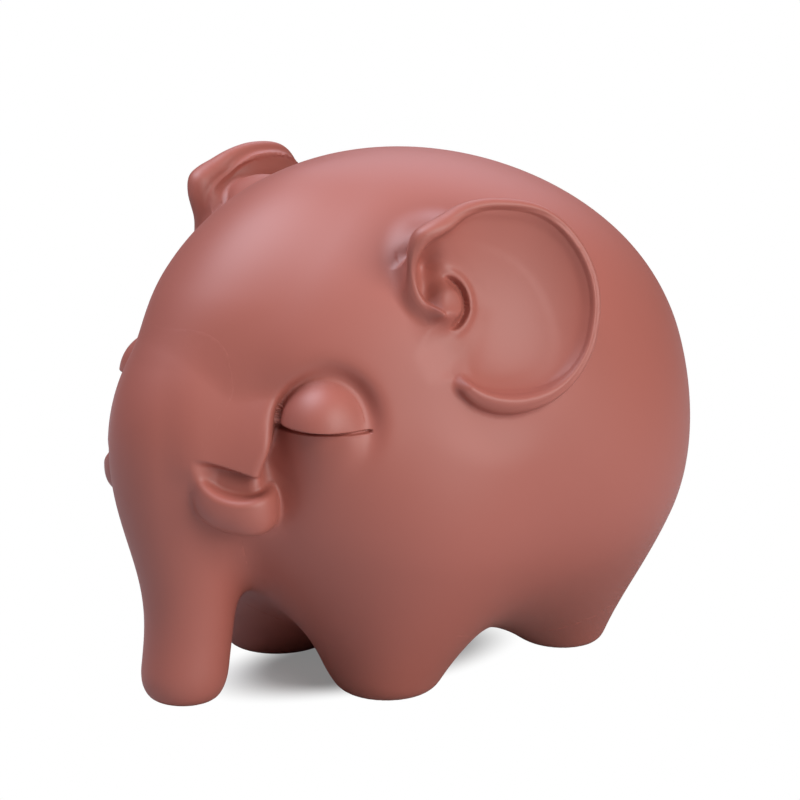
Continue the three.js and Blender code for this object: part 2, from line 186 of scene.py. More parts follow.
class StageSettings(bpy.types.PropertyGroup):
    """Floor, lamps and camera."""
    floor_colour: tint("Floor", "Colour of the table", 0.5, 0.5, 0.5)
    ambient: number("Ambient", "Strength of the light from all round", 0.07)
    camera_bearing: angle("Camera bearing", "Turn of the camera from straight ahead", 52.17)
    camera_rise: angle("Camera rise", "Height of the camera as an angle", 13.88)
    camera_distance: length("Camera distance", "From the camera to the elephant's middle", 426.1)
    camera_aim: spot("Camera aim", "Point that the camera looks at", 0, 0, 32)
    lens: FloatProperty(name="Lens", description="Focal length of the lens", default=164.5,
                        unit="CAMERA")
    shift_across: number("Shift across", "Sideways shift of the lens", 0.0069)
    shift_up: number("Shift up", "Upward shift of the lens", -0.014)


def mm(*values):
    """Millimetres as an array of metres."""
    return np.array(values, float) * MM


# Fields over an array of points: negative inside a form, positive outside, a distance near its skin
def egg(points, centre, halves):
    local = (points - np.array(centre)) / np.array(halves)
    near = np.linalg.norm(local, axis=1)
    steep = np.linalg.norm(local / np.array(halves), axis=1)
    return near * (near - 1.0) / np.maximum(steep, 1e-9)


def taper(points, start, end, start_radius, end_radius):
    start = np.array(start, float)
    axis = np.array(end, float) - start
    span = np.linalg.norm(axis)
    axis /= span
    slope = (start_radius - end_radius) / span
    lean = math.sqrt(1.0 - slope * slope)
    offset = points - start
    along = offset @ axis
    out = np.sqrt(np.maximum((offset ** 2).sum(1) - along ** 2, 0.0))
    foot = along - out * slope / lean
    side = out * lean + along * slope - start_radius
    side = np.where(foot <= 0.0, np.hypot(along, out) - start_radius, side)
    return np.where(foot >= span, np.hypot(along - span, out) - end_radius, side)


def soft_least(first, second, blend):
    overlap = np.maximum(blend - np.abs(first - second), 0.0) / blend
    return np.minimum(first, second) - overlap * overlap * blend / 4.0


def soft_most(first, second, blend):
    return -soft_least(-first, -second, blend)


def ease(value, low, high):
    step = np.clip((value - low) / (high - low), 0.0, 1.0)
    return step * step * (3.0 - 2.0 * step)


def bell(value, middle, width):
    return np.exp(-((value - middle) / width) ** 2)


def swelling(across, up, form):
    """A soft round rise on a plane. The form gives its middle and its reach, across and up."""
    middle_across, middle_up, reach_across, reach_up = form
    return np.exp(-((across - middle_across) / reach_across) ** 2
                  - ((up - middle_up) / reach_up) ** 2)


def turn_of(across, up):
    """Turn in degrees from the top towards the back."""
    return np.degrees(np.arctan2(across, up))


def hump(degrees, middle, width):
    turn = (degrees - middle + 180.0) % 360.0 - 180.0
    return np.exp(-(turn / width) ** 2)


def through(knots, values, at):
    """A smooth curve through the values at the knots, read at many places."""
    knots = np.array(knots, float)
    values = np.array(values, float)
    slopes = np.gradient(values, knots)
    place = np.clip(np.searchsorted(knots, at) - 1, 0, len(knots) - 2)
    width = knots[place + 1] - knots[place]
    t = np.clip((at - knots[place]) / width, 0.0, 1.0)
    first = (1 + 2 * t) * (1 - t) ** 2 * values[place] + t * (1 - t) ** 2 * width * slopes[place]
    return (first + t * t * (3 - 2 * t) * values[place + 1]
            - t * t * (1 - t) * width * slopes[place + 1])


def folded(points):
    """The same points on the elephant's left, because both sides are alike."""
    left = points.copy()
    left[:, 0] = np.abs(left[:, 0])
    return left


# How far apart the slope of a field is measured, and the least square of it that counts
SLOPE_STEP = 0.004 * MM
LEAST_SLOPE = 0.25


def slope_of(field, points):
    here = field(points)
    return np.stack([(field(points + axis * SLOPE_STEP) - here) / SLOPE_STEP
                     for axis in np.eye(3)], axis=1)


def settled(points, field, rounds, longest):
    """The points moved along the field's slope until they lie where it is zero."""
    for _ in range(rounds):
        slope = slope_of(field, points)
        steep = np.maximum((slope ** 2).sum(1), LEAST_SLOPE)
        move = np.clip(field(points) / steep, -longest, longest)
        points = points - slope * move[:, None]
    return points


# Body and legs: how softly a pair of legs runs together, and how narrow a rough leg ends
BETWEEN_LEGS = 5 * MM
SOLE_SHARE = 0.7
# The search for the torso's skin: how far out it goes, and at how many places it looks
SKIN_FAR, SKIN_PLACES = 60 * MM, 6001


def torso(points):
    sizes = bpy.context.scene.elephant_body
    body = egg(points, sizes.body_centre, sizes.body_halves)
    head = egg(points, sizes.head_centre, sizes.head_halves)
    return soft_least(body, head, sizes.head_blend)


def skin_reach(start, direction):
    """How far it is from a place inside the torso to its skin."""
    reach = np.linspace(0.0, SKIN_FAR, SKIN_PLACES)
    values = torso(start + reach[:, None] * direction)
    return reach[np.argmax(values > 0.0)]


def leg_sizes(body):
    return ((body.front_foot, body.front_foot_radius, body.front_hip, body.front_hip_radius),
            (body.rear_foot, body.rear_foot_radius, body.rear_hip, body.rear_hip_radius))


def leg_pair(points, foot, foot_radius, hip, hip_radius):
    other = points * np.array([-1.0, 1.0, 1.0])
    left = taper(points, hip, foot, hip_radius, foot_radius)
    right = taper(other, hip, foot, hip_radius, foot_radius)
    return soft_least(left, right, BETWEEN_LEGS)


# Trunk: how far forward its middle lies and how thick it is at some heights
TRUNK_HEIGHTS = mm(0, 2, 4.6, 9, 14, 20, 26.5, 32.5, 38.5, 45.1)
TRUNK_COURSE = np.polyfit(TRUNK_HEIGHTS, mm(-30.3, -30.2, -30.0, -29.6, -29.3, -29.9, -30.2,
                                            -28.6, -25.8, -22.4), 6)
TRUNK_SWELL = np.polyfit(TRUNK_HEIGHTS, mm(5, 5, 5, 5.05, 5.5, 6.8, 8, 8.6, 8.9, 8.9), 5)
TRUNK_TIP = 4.6 * MM
TRUNK_TOP = 40 * MM
TRUNK_TOP_RADIUS = 9 * MM
TRUNK_CAP = 1.8
TRUNK_CAP_SHARE = 0.95
TRUNK_SQUARENESS = 2.6
STATION_HEIGHTS = mm(50, 46, 42, 38, 34, 30, 26, 22, 18, 14, 10, 7, 4.6, 2, -1)


def trunk(points):
    """A round limb whose middle and radius follow smooth curves up from the table."""
    height = np.minimum(points[:, 2], TRUNK_TOP)
    height = np.maximum(height, 0.0)
    rise = np.polyval(np.polyder(TRUNK_COURSE), height)
    above = np.maximum(points[:, 2] - TRUNK_TOP, 0.0)
    below = np.maximum(TRUNK_TIP - points[:, 2], 0.0)
    middle = np.polyval(TRUNK_COURSE, height) + rise * above
    lean = 1.0 / np.sqrt(1.0 + rise ** 2)
    across = np.hypot(points[:, 0], (points[:, 1] - middle) * lean)
    across = np.hypot(across, above / TRUNK_CAP)
    around = (across ** TRUNK_SQUARENESS + below ** TRUNK_SQUARENESS) ** (1.0 / TRUNK_SQUARENESS)
    return around - np.polyval(TRUNK_SWELL, height)


def trunk_stations(more):
    """Middles and radii of the trunk from its root in the forehead to below its tip."""
    at = np.clip(STATION_HEIGHTS, 0.0, TRUNK_TOP)
    past = STATION_HEIGHTS - TRUNK_TOP
    rise = np.polyval(np.polyder(TRUNK_COURSE), at)
    places = np.polyval(TRUNK_COURSE, at) + rise * np.maximum(past, 0.0)
    over = np.clip(past / TRUNK_CAP / TRUNK_TOP_RADIUS, 0.0, TRUNK_CAP_SHARE)
    radii = np.polyval(TRUNK_SWELL, at) * np.sqrt(1.0 - over ** 2) + more
    return [(Vector((0.0, y, z)), radius) for y, z, radius in zip(places, STATION_HEIGHTS, radii)]


# Flank, the flat side of the bridge: its reach forward and its outer edge at some heights
BRIDGE_HEIGHTS = mm(26, 29.5, 33.3, 36, 39, 42, 46)
BRIDGE_COURSE = np.polyfit(BRIDGE_HEIGHTS, mm(32.0, 32.0, 31.2, 30.1, 28.4, 25.9, 21.0), 4)
EDGE_HEIGHTS = mm(22, 26, 29.5, 32.5, 34.6, 36.1, 37.8, 39.5, 43)
BRIDGE_EDGES = mm(-8.3, -7.6, -6.8, -5.7, -5.0, -4.7, -4.4, -4.1, -3.6)
LEDGE_MIDDLE = 15 * MM
LEDGE_STEPS_IN = mm(-0.25, 0.75)
POCKET_OPENS = mm(-14.8, -12.0)
POCKET_DEEPENS = mm(0.8, 6.0)
FLAT_SLANT, EDGE_SLANT = 0.9, 0.86
FLANK_ROUND, FLANK_SOFT = 1.2 * MM, 2.5 * MM
FLANK_INNER, FLANK_BACK, FLANK_FOOT = -15.6 * MM, 20 * MM, 23.5 * MM
FLANK_STATIONS = ((mm(9.6, -26.0, 38.6), 2.9 * MM), (mm(9.6, -27.6, 33.5), 3.3 * MM),
                  (mm(9.2, -28.6, 29.8), 3.5 * MM))


def turned(offset, bearing):
    """Distances out along a bearing and aside from it."""
    sine, cosine = math.sin(bearing), math.cos(bearing)
    return (offset[:, 0] * sine - offset[:, 1] * cosine,
            offset[:, 0] * cosine + offset[:, 1] * sine)


def flank(points):
    """The flat side of the bridge, from the brow down to the ledge over the tusk."""
    sizes = bpy.context.scene.elephant_face
    out, aside = turned(points, sizes.bridge_bearing)
    height = np.clip(points[:, 2], BRIDGE_HEIGHTS[0], BRIDGE_HEIGHTS[-1])
    past = points[:, 2] - height
    ledge = aside + LEDGE_MIDDLE
    ledge = sizes.ledge_height - sizes.ledge_fall * ledge - sizes.ledge_bow * ledge ** 2
    reach = (np.polyval(BRIDGE_COURSE, height)
             + np.polyval(np.polyder(BRIDGE_COURSE), height) * past)
    under = ledge - points[:, 2]
    inner = 1.0 - (1.0 - ease(aside, *POCKET_OPENS)) * (1.0 - ease(under, *POCKET_DEEPENS))
    proud = out - reach + sizes.ledge_step * ease(under, *LEDGE_STEPS_IN) * inner
    line = through(EDGE_HEIGHTS, BRIDGE_EDGES,
                   np.clip(points[:, 2], EDGE_HEIGHTS[0], EDGE_HEIGHTS[-1]))
    edge = aside - sizes.bridge_undercut * (out - reach) - line
    side = soft_most(proud * FLAT_SLANT, edge * EDGE_SLANT, FLANK_ROUND)
    side = soft_most(side, FLANK_INNER - aside, FLANK_SOFT)
    side = np.maximum(side, FLANK_BACK - out)
    return soft_most(side, FLANK_FOOT - points[:, 2], FLANK_SOFT)


# Tusk: the corner that rises to the ledge and the scoop out of its top, on its own directions
TUSK_SQUARENESS = 2.5
TUSK_CORNER = mm(0.6, -3.0, 2.2), mm(1.5, -3.7, 4.2), 1.6 * MM, 0.9 * MM
TUSK_SCOOP = mm(3.0, 1.5, 5.2), mm(9, 5.3, 4.5)
CORNER_BLEND, SCOOP_BLEND = 1.2 * MM, 0.9 * MM


def tusk_form(points):
    """A blunt stub with a scooped top, whose inner end rises to the ledge."""
    face = bpy.context.scene.elephant_face
    offset = points - np.array(face.tusk_centre)
    out, aside = turned(offset, face.tusk_bearing)
    up = offset[:, 2] + face.tusk_tilt * aside
    size = np.array((face.tusk_reach, face.tusk_half_width, face.tusk_half_height))
    shape = np.abs(np.stack([out, aside, up], axis=1)) / size
    stub = ((shape ** TUSK_SQUARENESS).sum(1) ** (1.0 / TUSK_SQUARENESS) - 1.0) * face.tusk_reach
    local = np.stack([out, aside, offset[:, 2]], axis=1)
    stub = soft_least(stub, taper(local, *TUSK_CORNER), CORNER_BLEND)
    return soft_most(stub, -egg(local, *TUSK_SCOOP), SCOOP_BLEND)


class SkinFrame:
    """A place on the elephant's left with the directions across, up and out of it."""

    def split(self, points):
        offset = points - self.place
        return offset @ self.across, offset @ self.up, offset @ self.out

    def local(self, points):
        return np.stack(self.split(points), axis=1)

    def world(self, across, up, out):
        return (self.place + across[:, None] * self.across + up[:, None] * self.up
                + out[:, None] * self.out)


class EyeFrame(SkinFrame):
    """The left eye, on the skin of the face."""

    def __init__(self):
        face = bpy.context.scene.elephant_face
        head = np.array(bpy.context.scene.elephant_body.head_centre)
        bearing = np.array([math.sin(face.eye_bearing), -math.cos(face.eye_bearing), 0.0])
        start = np.array([0.0, head[1], face.eye_height])
        self.place = start + bearing * skin_reach(start, bearing)
        out = slope_of(torso, self.place[None, :])[0]
        self.out = out / np.linalg.norm(out)
        across = np.cross([0.0, 0.0, 1.0], self.out)
        self.across = across / np.linalg.norm(across)
        self.up = np.cross(self.out, self.across)


class EarFrame(SkinFrame):
    """The left ear's own plane, whose across points back."""

    def __init__(self):
        sizes = bpy.context.scene.elephant_ear
        self.place = np.array(sizes.centre)
        self.out = np.array(sizes.facing) / np.linalg.norm(sizes.facing)
        up = np.array([0.0, 0.0, 1.0]) - self.out * self.out[2]
        self.up = up / np.linalg.norm(up)
        self.across = np.cross(self.up, self.out)


# Eye: rings are shares of the lid's own size, and turns are degrees from its top
LINE_RISE = 0.3 * MM
LINE_SAG_INNER, LINE_SAG_OUTER = 5.0, 3.0
LID_SHIFT = 0.2 * MM
LID_SINK = 3.0 * MM
LID_EDGE, LID_BLEND = 0.25 * MM, 0.7 * MM
EYE_SIDE = mm(-10, -6)
SOCKET_RING, SOCKET_TURN = (1.12, 0.3), (45.0, 62.0)
CRESCENT_RING, CRESCENT_TURN, CRESCENT_DEPTH = (1.02, 0.19), (-50.0, 46.0), 1.1 * MM
VALLEY = mm(-6.0, -3.0, 3.6, 7.0)
CHEEK_SWELL = mm(1.5, -1.2, 6.4, 5.4)
SLIT_NARROWS, SLIT_NARROWED = mm(-5, 2), 0.45
SLIT_END_FROM, SLIT_END_TO = 0.7 * MM, 0.1 * MM
SLIT_BELOW = 0.12 * MM
SLIT_WIDENS, SLIT_LESS = 1.5, 0.2


def closed_line(across):
    """Height of the line along which the lid is closed."""
    sag = np.where(across < 0.0, LINE_SAG_INNER, LINE_SAG_OUTER)
    return LINE_RISE + sag * across ** 2


def slit_depth(across, up):
    """Depth of the closed line of the eye, widest and deepest at its inner end."""
    face = bpy.context.scene.elephant_face
    inner = 1.0 - SLIT_NARROWED * ease(across, *SLIT_NARROWS)
    width = face.slit_width * (SLIT_WIDENS * inner - SLIT_LESS)
    ends = 1.0 - ease(np.abs(across), face.slit_half_length - SLIT_END_FROM,
                      face.slit_half_length + SLIT_END_TO)
    return (face.slit_depth * ends * inner
            * np.exp(-((up - closed_line(across) + SLIT_BELOW) / width) ** 4))


# Ear, on its own plane: turns are degrees from its top towards the back
EAR_ROOT = mm(-5.6, 3.6, -5.8), mm(5.2, 6.6, 4.9)
EAR_BACKING = mm(-2.5, -1.5, -4.8), mm(8.0, 9.4, 4.6)
EAR_CLOSE = 19 * MM
EAR_TURNS = [-51, -44, -38, -27, -16, 0, 26, 54, 92, 108, 121, 133, 152, 169, 184, 197, 208, 220,
             228, 237, 248, 258, 265, 270, 275, 281, 288, 294, 301, 309, 316, 322, 333, 344, 360,
             386]
EAR_REACHES = mm(14.0, 13.5, 13.0, 12.6, 12.2, 11.7, 11.5, 11.0, 10.7, 10.7, 10.9, 11.1, 11.5,
                 11.8, 12.0, 12.0, 11.8, 11.2, 10.6, 9.8, 9.0, 8.8, 8.9, 9.4, 10.1, 10.9, 11.8,
                 12.6, 13.5, 14.0, 13.5, 13.0, 12.6, 12.2, 11.7, 11.5)
# The folded corner, the narrow strip in front and the broad base: what each adds to the rim
FOLD, FOLD_ROLL, FOLD_LIFT = mm(-9.9, 8.7, 5.2, 3.4), 0.85 * MM, 0.5 * MM
STRIP, STRIP_ROLL, STRIP_DROP = mm(-11.0, 1.6, 2.8, 4.2), 0.2 * MM, 1.9 * MM
BASE, BASE_ROLL = mm(-2.0, -11.5, 8, 3.4), 0.6 * MM
ROLL_INSIDE, BASE_INSIDE = 1.7, 0.7
BOWL_POWER, CHEEK_POWER = 0.8, 0.3
# The sector in front of the base, where the bowl runs out into the cheek and the leaf dives under
CHEEK_OPENS, CHEEK_CLOSES = (212.0, 234.0), (246.0, 270.0)
CHEEK_FROM, CHEEK_TO = mm(2, 6), mm(12.5, 15.0)
CHEEK_REACH, CHEEK_SINK = 10.4 * MM, 0.5 * MM
DIVE_OPENS, DIVE_CLOSES, DIVE_FROM = (214.0, 234.0), (257.0, 267.0), mm(4, 7)
DIVE_DEPTH = 3.6 * MM
# How softly the ear's forms run into one another
LEAF_SLANT = 0.9
RIM_BLEND, ROOT_BLEND, BACKING_BLEND = 0.6 * MM, 2.6 * MM, 2.0 * MM
EAR_BLEND, FOLD_BLEND, STRIP_BLEND = 0.7 * MM, 1.5 * MM, 2.4 * MM
# The wall from the bowl up to the rim: how fast it rises, how it leans, how round its edge is
WALL_FLARE, BASE_FLARE, CHEEK_FLARE = 2.2, 1.2, 0.8
WALL_SLANT, WALL_LEAN, WALL_FROM = 0.9, 0.4, 0.4 * MM
WALL_ROUND, CHEEK_ROUND, BASE_ROUND = 0.35, 1.4, 0.7
# Fine relief on the front: two hollows under the fold, and the round lobe with its crescent
EAR_FRONT = mm(-5.6, -4.4)
FOLD_HOLLOW, FOLD_HOLLOW_DEPTH = mm(-9.0, 5.4, 1.5, 1.8), 2.0 * MM
STRIP_HOLLOW, STRIP_HOLLOW_DEPTH = mm(-9.2, 2.4, 1.0, 2.2), 0.6 * MM
LOBE_ACROSS, LOBE_UP, LOBE_LONG = -6.9 * MM, 0.8 * MM, 0.9
LOBE_RADIUS, LOBE_RISE = 2.1 * MM, 1.1 * MM
LOBE_BACK = mm(-7.3, -5.6)
CUT_DEPTH, CUT_INSIDE, CUT_OUTSIDE = 1.0 * MM, mm(1.2, 2.2), mm(2.5, 2.8)
CREST_RISE, CREST_MIDDLE, CREST_WIDTH = 0.25 * MM, 3.1 * MM, 0.45 * MM
# Fine relief along the rim: a groove, a ridge inside it, and the underside tucked in below
RIM_TOP = mm(-2, 11, 7, 5)
RIM_THICK = mm(-9.3, 9.2, 4.6, 3.4)
GROOVE_DEPTH, GROOVE_PLACE, GROOVE_WIDTH = 0.14 * MM, 0.6 * MM, 0.2 * MM
RIDGE_RISE, RIDGE_PLACE, RIDGE_WIDTH = 0.12 * MM, 1.5 * MM, 0.45 * MM
GROOVE_TOP, RIDGE_TOP = 0.6 * MM, 0.3 * MM
OPEN_FRONT, OPEN_SHARPNESS = (252.0, 40.0), 1.3
UNDERSIDE, FOOT_DEPTH = (190.0, 25.0), 0.55 * MM
FOOT_INSIDE, FOOT_OUTSIDE = mm(0.1, 1.7), mm(-6.5, -0.6)


def ear_radius(degrees):
    """Distance from the ear's middle to its edge."""
    return through(EAR_TURNS, EAR_REACHES, degrees % 360.0)


class EarCourse:
    """How the ear runs: its edge, rolled rim and bowl, and where it dives into the cheek."""

    def __init__(self, across, up):
        sizes = bpy.context.scene.elephant_ear
        turn = turn_of(across, up) % 360.0
        self.reach = np.hypot(across, up)
        self.edge = ear_radius(turn)
        self.fold = swelling(across, up, FOLD)
        self.strip = swelling(across, up, STRIP)
        self.base = swelling(across, up, BASE)
        self.cheek = (ease(turn, *CHEEK_OPENS) * (1.0 - ease(turn, *CHEEK_CLOSES))
                      * ease(self.reach, *CHEEK_FROM) * (1.0 - ease(self.reach, *CHEEK_TO)))
        self.dive = (DIVE_DEPTH * ease(turn, *DIVE_OPENS) * (1.0 - ease(turn, *DIVE_CLOSES))
                     * ease(self.reach, *DIVE_FROM))
        self.roll = (sizes.rim + FOLD_ROLL * self.fold + BASE_ROLL * self.base
                     - STRIP_ROLL * self.strip)
        self.lift = FOLD_LIFT * self.fold - STRIP_DROP * self.strip
        inner = self.edge - (ROLL_INSIDE + BASE_INSIDE * self.base) * self.roll
        inner = inner + (CHEEK_REACH - inner) * self.cheek
        part = np.clip(self.reach / inner, 0.0, 1.0)
        self.bowl = ((self.lift - CHEEK_SINK * self.cheek) * part ** 2
                     - sizes.dish * (1.0 - part ** 2) ** (BOWL_POWER + CHEEK_POWER * self.cheek))
        self.beyond = np.maximum(self.reach - inner, 0.0)
        self.thickness = sizes.thickness


def ear_worked(skin, across, up, out):
    """The skin with the ear laid on it and its bowl pressed in."""
    course = EarCourse(across, up)
    rim_middle = course.edge - course.roll
    rim = np.hypot(course.reach - rim_middle, out - course.lift + course.dive) - course.roll
    level = out - (course.bowl - course.thickness / 2.0) + course.dive
    leaf = np.maximum(np.abs(level) * LEAF_SLANT - course.thickness / 2.0,
                      course.reach - rim_middle)
    ear = soft_least(rim, leaf, RIM_BLEND)
    local = np.stack([across, up, out], axis=1)
    skin = soft_least(skin, egg(local, *EAR_ROOT), ROOT_BLEND)
    skin = soft_least(skin, egg(local, *EAR_BACKING), BACKING_BLEND)
    blend = EAR_BLEND + FOLD_BLEND * course.fold + STRIP_BLEND * course.strip
    skin = soft_least(skin, ear, blend)
    rimmed = 1.0 - course.cheek
    flare = (WALL_FLARE - BASE_FLARE * course.base) * (1.0 - CHEEK_FLARE * course.cheek)
    slant = WALL_SLANT - WALL_LEAN * ease(course.beyond, 0.0, WALL_FROM) * rimmed
    pressed = (out - course.bowl - course.beyond * flare) * slant
    rounding = WALL_ROUND + CHEEK_ROUND * course.cheek + BASE_ROUND * course.base * rimmed
    return soft_most(skin, pressed, rounding * MM)


def ear_relief(across, up, out):
    """How far the ear's front is raised by its hollows, lobe, crescent and fine rim."""
    degrees = turn_of(across, up)
    inward = ear_radius(degrees) - np.hypot(across, up)
    facing = ease(out, *EAR_FRONT)
    hollow = FOLD_HOLLOW_DEPTH * swelling(across, up, FOLD_HOLLOW)
    hollow = hollow + STRIP_HOLLOW_DEPTH * swelling(across, up, STRIP_HOLLOW)
    from_lobe = np.hypot(across - LOBE_ACROSS, (up - LOBE_UP) * LOBE_LONG)
    lobe = LOBE_RISE * np.exp(-(from_lobe / LOBE_RADIUS) ** 4)
    side = ease(across, *LOBE_BACK)
    crescent = (CUT_DEPTH * side * (1.0 - ease(from_lobe, *CUT_OUTSIDE))
                * ease(from_lobe, *CUT_INSIDE))
    crest = CREST_RISE * side * bell(from_lobe, CREST_MIDDLE, CREST_WIDTH)
    open_front = np.clip(OPEN_SHARPNESS * hump(degrees, *OPEN_FRONT), 0.0, 1.0)
    top = swelling(across, up, RIM_TOP)
    groove = GROOVE_DEPTH * bell(inward - GROOVE_PLACE, GROOVE_TOP * top, GROOVE_WIDTH)
    ridge = RIDGE_RISE * bell(inward - RIDGE_PLACE, RIDGE_TOP * top, RIDGE_WIDTH)
    low = hump(degrees, *UNDERSIDE)
    foot = (FOOT_DEPTH * low * (1.0 - ease(inward, *FOOT_INSIDE))
            * ease(inward, *FOOT_OUTSIDE))
    thick = swelling(across, up, RIM_THICK)
    fine = (1.0 - open_front) * (1.0 - low) * (1.0 - thick) * (ridge - groove)
    return facing * (lobe + crest + fine - hollow - crescent - foot)


# How the whole nose runs into the face: low down by the tusk, and high up on the forehead
NOSE_LOW, NOSE_HIGH = mm(27, 30.5), mm(36, 48)


class Figure:
    """The whole skin as one field: body, head, legs, trunk, flanks, eyes, sockets and ears."""

    def __init__(self):
        self.body = bpy.context.scene.elephant_body
        self.face = bpy.context.scene.elephant_face
        self.eye = EyeFrame()
        self.ear = EarFrame()

    def __call__(self, points):
        body = self.body
        face = self.face
        left = folded(points)
        local = self.eye.local(left)
        across, up, out = local.T
        near = ease(out, *EYE_SIDE)
        ring = np.hypot((across + LID_SHIFT) / face.lid_half_length,
                        (up - LID_SHIFT) / face.lid_height)
        turn = turn_of(across, up)
        socket = face.socket_depth * bell(ring, *SOCKET_RING) * hump(turn, *SOCKET_TURN)
        crescent = CRESCENT_DEPTH * bell(ring, *CRESCENT_RING) * hump(turn, *CRESCENT_TURN)
        valley = face.valley_depth * swelling(across, up, VALLEY)
        cheek = face.cheek_rise * swelling(across, up, CHEEK_SWELL)
        skin = torso(left) + near * (socket + valley - cheek)
        for leg in leg_sizes(body):
            skin = soft_least(skin, leg_pair(points, *leg), body.leg_blend)
        nose = soft_least(flank(left), trunk(left), face.flank_blend)
        low = 1.0 - ease(left[:, 2], *NOSE_LOW)
        high = ease(left[:, 2], *NOSE_HIGH)
        blend = face.bridge_crease + low * face.trunk_blend + high * face.crown_blend
        skin = soft_least(skin, nose, blend) + near * crescent
        skin = soft_least(skin, self.lid(local), LID_BLEND)
        skin = soft_least(skin, tusk_form(left), face.tusk_crease)
        close = ((left - self.ear.place) ** 2).sum(1) < EAR_CLOSE ** 2
        if close.any():
            skin[close] = ear_worked(skin[close], *self.ear.split(left[close]))
        return soft_most(skin, -points[:, 2], body.sole_round)

    def lid(self, local):
        """A dome cut off along the closed line of the eye."""
        face = self.face
        dome = egg(local, (-LID_SHIFT, LID_SHIFT, -LID_SINK),
                   (face.lid_half_length, face.lid_height, LID_SINK + face.lid_proud))
        return soft_most(dome, closed_line(local[:, 0]) - local[:, 1], LID_EDGE)


# Modelling steps: where shading turns sharp, and how far points move in a step
SMOOTH_ANGLE = math.radians(55.0)
RELAX_SHARE, RELAX_STEP = 0.6, 0.3 * MM
ROUGH_STEP, FINE_STEP = 0.6 * MM, 0.4 * MM


def deselect():
    bpy.ops.object.select_all(action="DESELECT")


def pick(*things):
    deselect()
    for thing in things:
        thing.select_set(True)
    bpy.context.view_layer.objects.active = things[0]


def edit_all():
    bpy.ops.object.mode_set(mode="EDIT")
    bpy.ops.mesh.select_all(action="SELECT")


def edit_over():
    bpy.ops.object.mode_set(mode="OBJECT")


def outward(thing):
    pick(thing)
    edit_all()
    bpy.ops.mesh.normals_make_consistent(inside=False)
    edit_over()


def applied():
    """The active object with its place, turn and size put into its mesh."""
    bpy.ops.object.transform_apply(location=True, rotation=True, scale=True)
    return bpy.context.active_object


def ball(name, centre=(0, 0, 0), halves=(1, 1, 1), segments=64, rings=32):
    deselect()
    bpy.ops.mesh.primitive_uv_sphere_add(segments=segments, ring_count=rings, radius=1.0,
                                         location=centre)
    bpy.context.active_object.name = name
    bpy.ops.transform.resize(value=tuple(halves))
    return applied()


def rod(radius, depth, place, sides):
    deselect()
    bpy.ops.mesh.primitive_cylinder_add(vertices=sides, radius=radius, depth=depth, location=place)
    return applied()


def limb(name, stations, sides=32):
    """A round limb: a disc drawn out from station to station and resized at each."""
    place, radius = Vector(stations[0][0]), stations[0][1]
    deselect()
    bpy.ops.mesh.primitive_circle_add(vertices=sides, radius=radius, fill_type="NGON",
                                      location=place)
    bpy.context.active_object.name = name
    edit_all()
    for next_place, next_radius in stations[1:]:
        step = Vector(next_place) - place
        bpy.ops.mesh.extrude_region_move(TRANSFORM_OT_translate={"value": tuple(step)})
        factor = next_radius / radius
        bpy.ops.transform.resize(value=(factor, factor, factor))
        place, radius = Vector(next_place), next_radius
    edit_over()
    made = applied()
    outward(made)
    return made


def joined(name, parts):
    pick(*parts)
    bpy.ops.object.join()
    whole = bpy.context.active_object
    whole.name = name
    whole.data.name = name
    return whole


def remeshed(thing):
    pick(thing)
    remesh = thing.modifiers.new("Clay", "REMESH")
    remesh.mode = "VOXEL"
    remesh.voxel_size = bpy.context.scene.elephant_body.grain * 1.0
    remesh.use_smooth_shade = True
    bpy.ops.object.modifier_apply(modifier=remesh.name)


def points_of(thing):
    points = np.empty(len(thing.data.vertices) * 3)
    thing.data.vertices.foreach_get("co", points)
    return points.reshape(-1, 3)


def give_points(thing, points):
    thing.data.vertices.foreach_set("co", np.ascontiguousarray(points).ravel())
    thing.data.update()


def shaped(thing, points, side):
    """The form with its points worked anew on the left, or mirrored to the right."""
    points[:, 0] *= side
    give_points(thing, points)
    outward(thing)
    return thing


def relaxed(thing, field, rounds):
    """Evens out the mesh along its skin, then presses it back on the field."""
    edges = np.empty(len(thing.data.edges) * 2, np.int64)
    thing.data.edges.foreach_get("vertices", edges)
    first, second = edges.reshape(-1, 2).T
    points = points_of(thing)
    count = (np.bincount(first, minlength=len(points))
             + np.bincount(second, minlength=len(points)))
    for _ in range(rounds):
        total = np.zeros_like(points)
        for axis in range(3):
            total[:, axis] += np.bincount(first, points[second, axis], len(points))
            total[:, axis] += np.bincount(second, points[first, axis], len(points))
        pull = total / count[:, None] - points
        slope = slope_of(field, points)
        out = slope / np.maximum(np.linalg.norm(slope, axis=1, keepdims=True), 1e-9)
        pull = pull - out * (pull * out).sum(1, keepdims=True)
        points = settled(points + RELAX_SHARE * pull, field, rounds=1, longest=RELAX_STEP)
    give_points(thing, settled(points, field, rounds=2, longest=RELAX_STEP))


def refined(thing, inside):
    """Halves the faces whose middles pass the test."""
    middles = np.empty(len(thing.data.polygons) * 3)
    thing.data.polygons.foreach_get("center", middles)
    chosen = inside(folded(middles.reshape(-1, 3)))
    pick(thing)
    bpy.ops.object.mode_set(mode="EDIT")
    bpy.ops.mesh.select_mode(type="FACE")
    bpy.ops.mesh.select_all(action="DESELECT")
    edit_over()
    thing.data.polygons.foreach_set("select", chosen)
    bpy.ops.object.mode_set(mode="EDIT")
    bpy.ops.mesh.subdivide(number_cuts=1)
    bpy.ops.mesh.select_all(action="DESELECT")
    edit_over()


def finished(piece, *nodes):
    """A piece rides on the elephant, stands for its nodes and takes the clay."""
    pick(piece)
    bpy.ops.object.shade_smooth_by_angle(angle=SMOOTH_ANGLE)
    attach(piece, "root")
    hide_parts(*nodes)
    piece.data.materials.clear()
    piece.data.materials.append(bpy.data.materials[CLAY_SLOT])


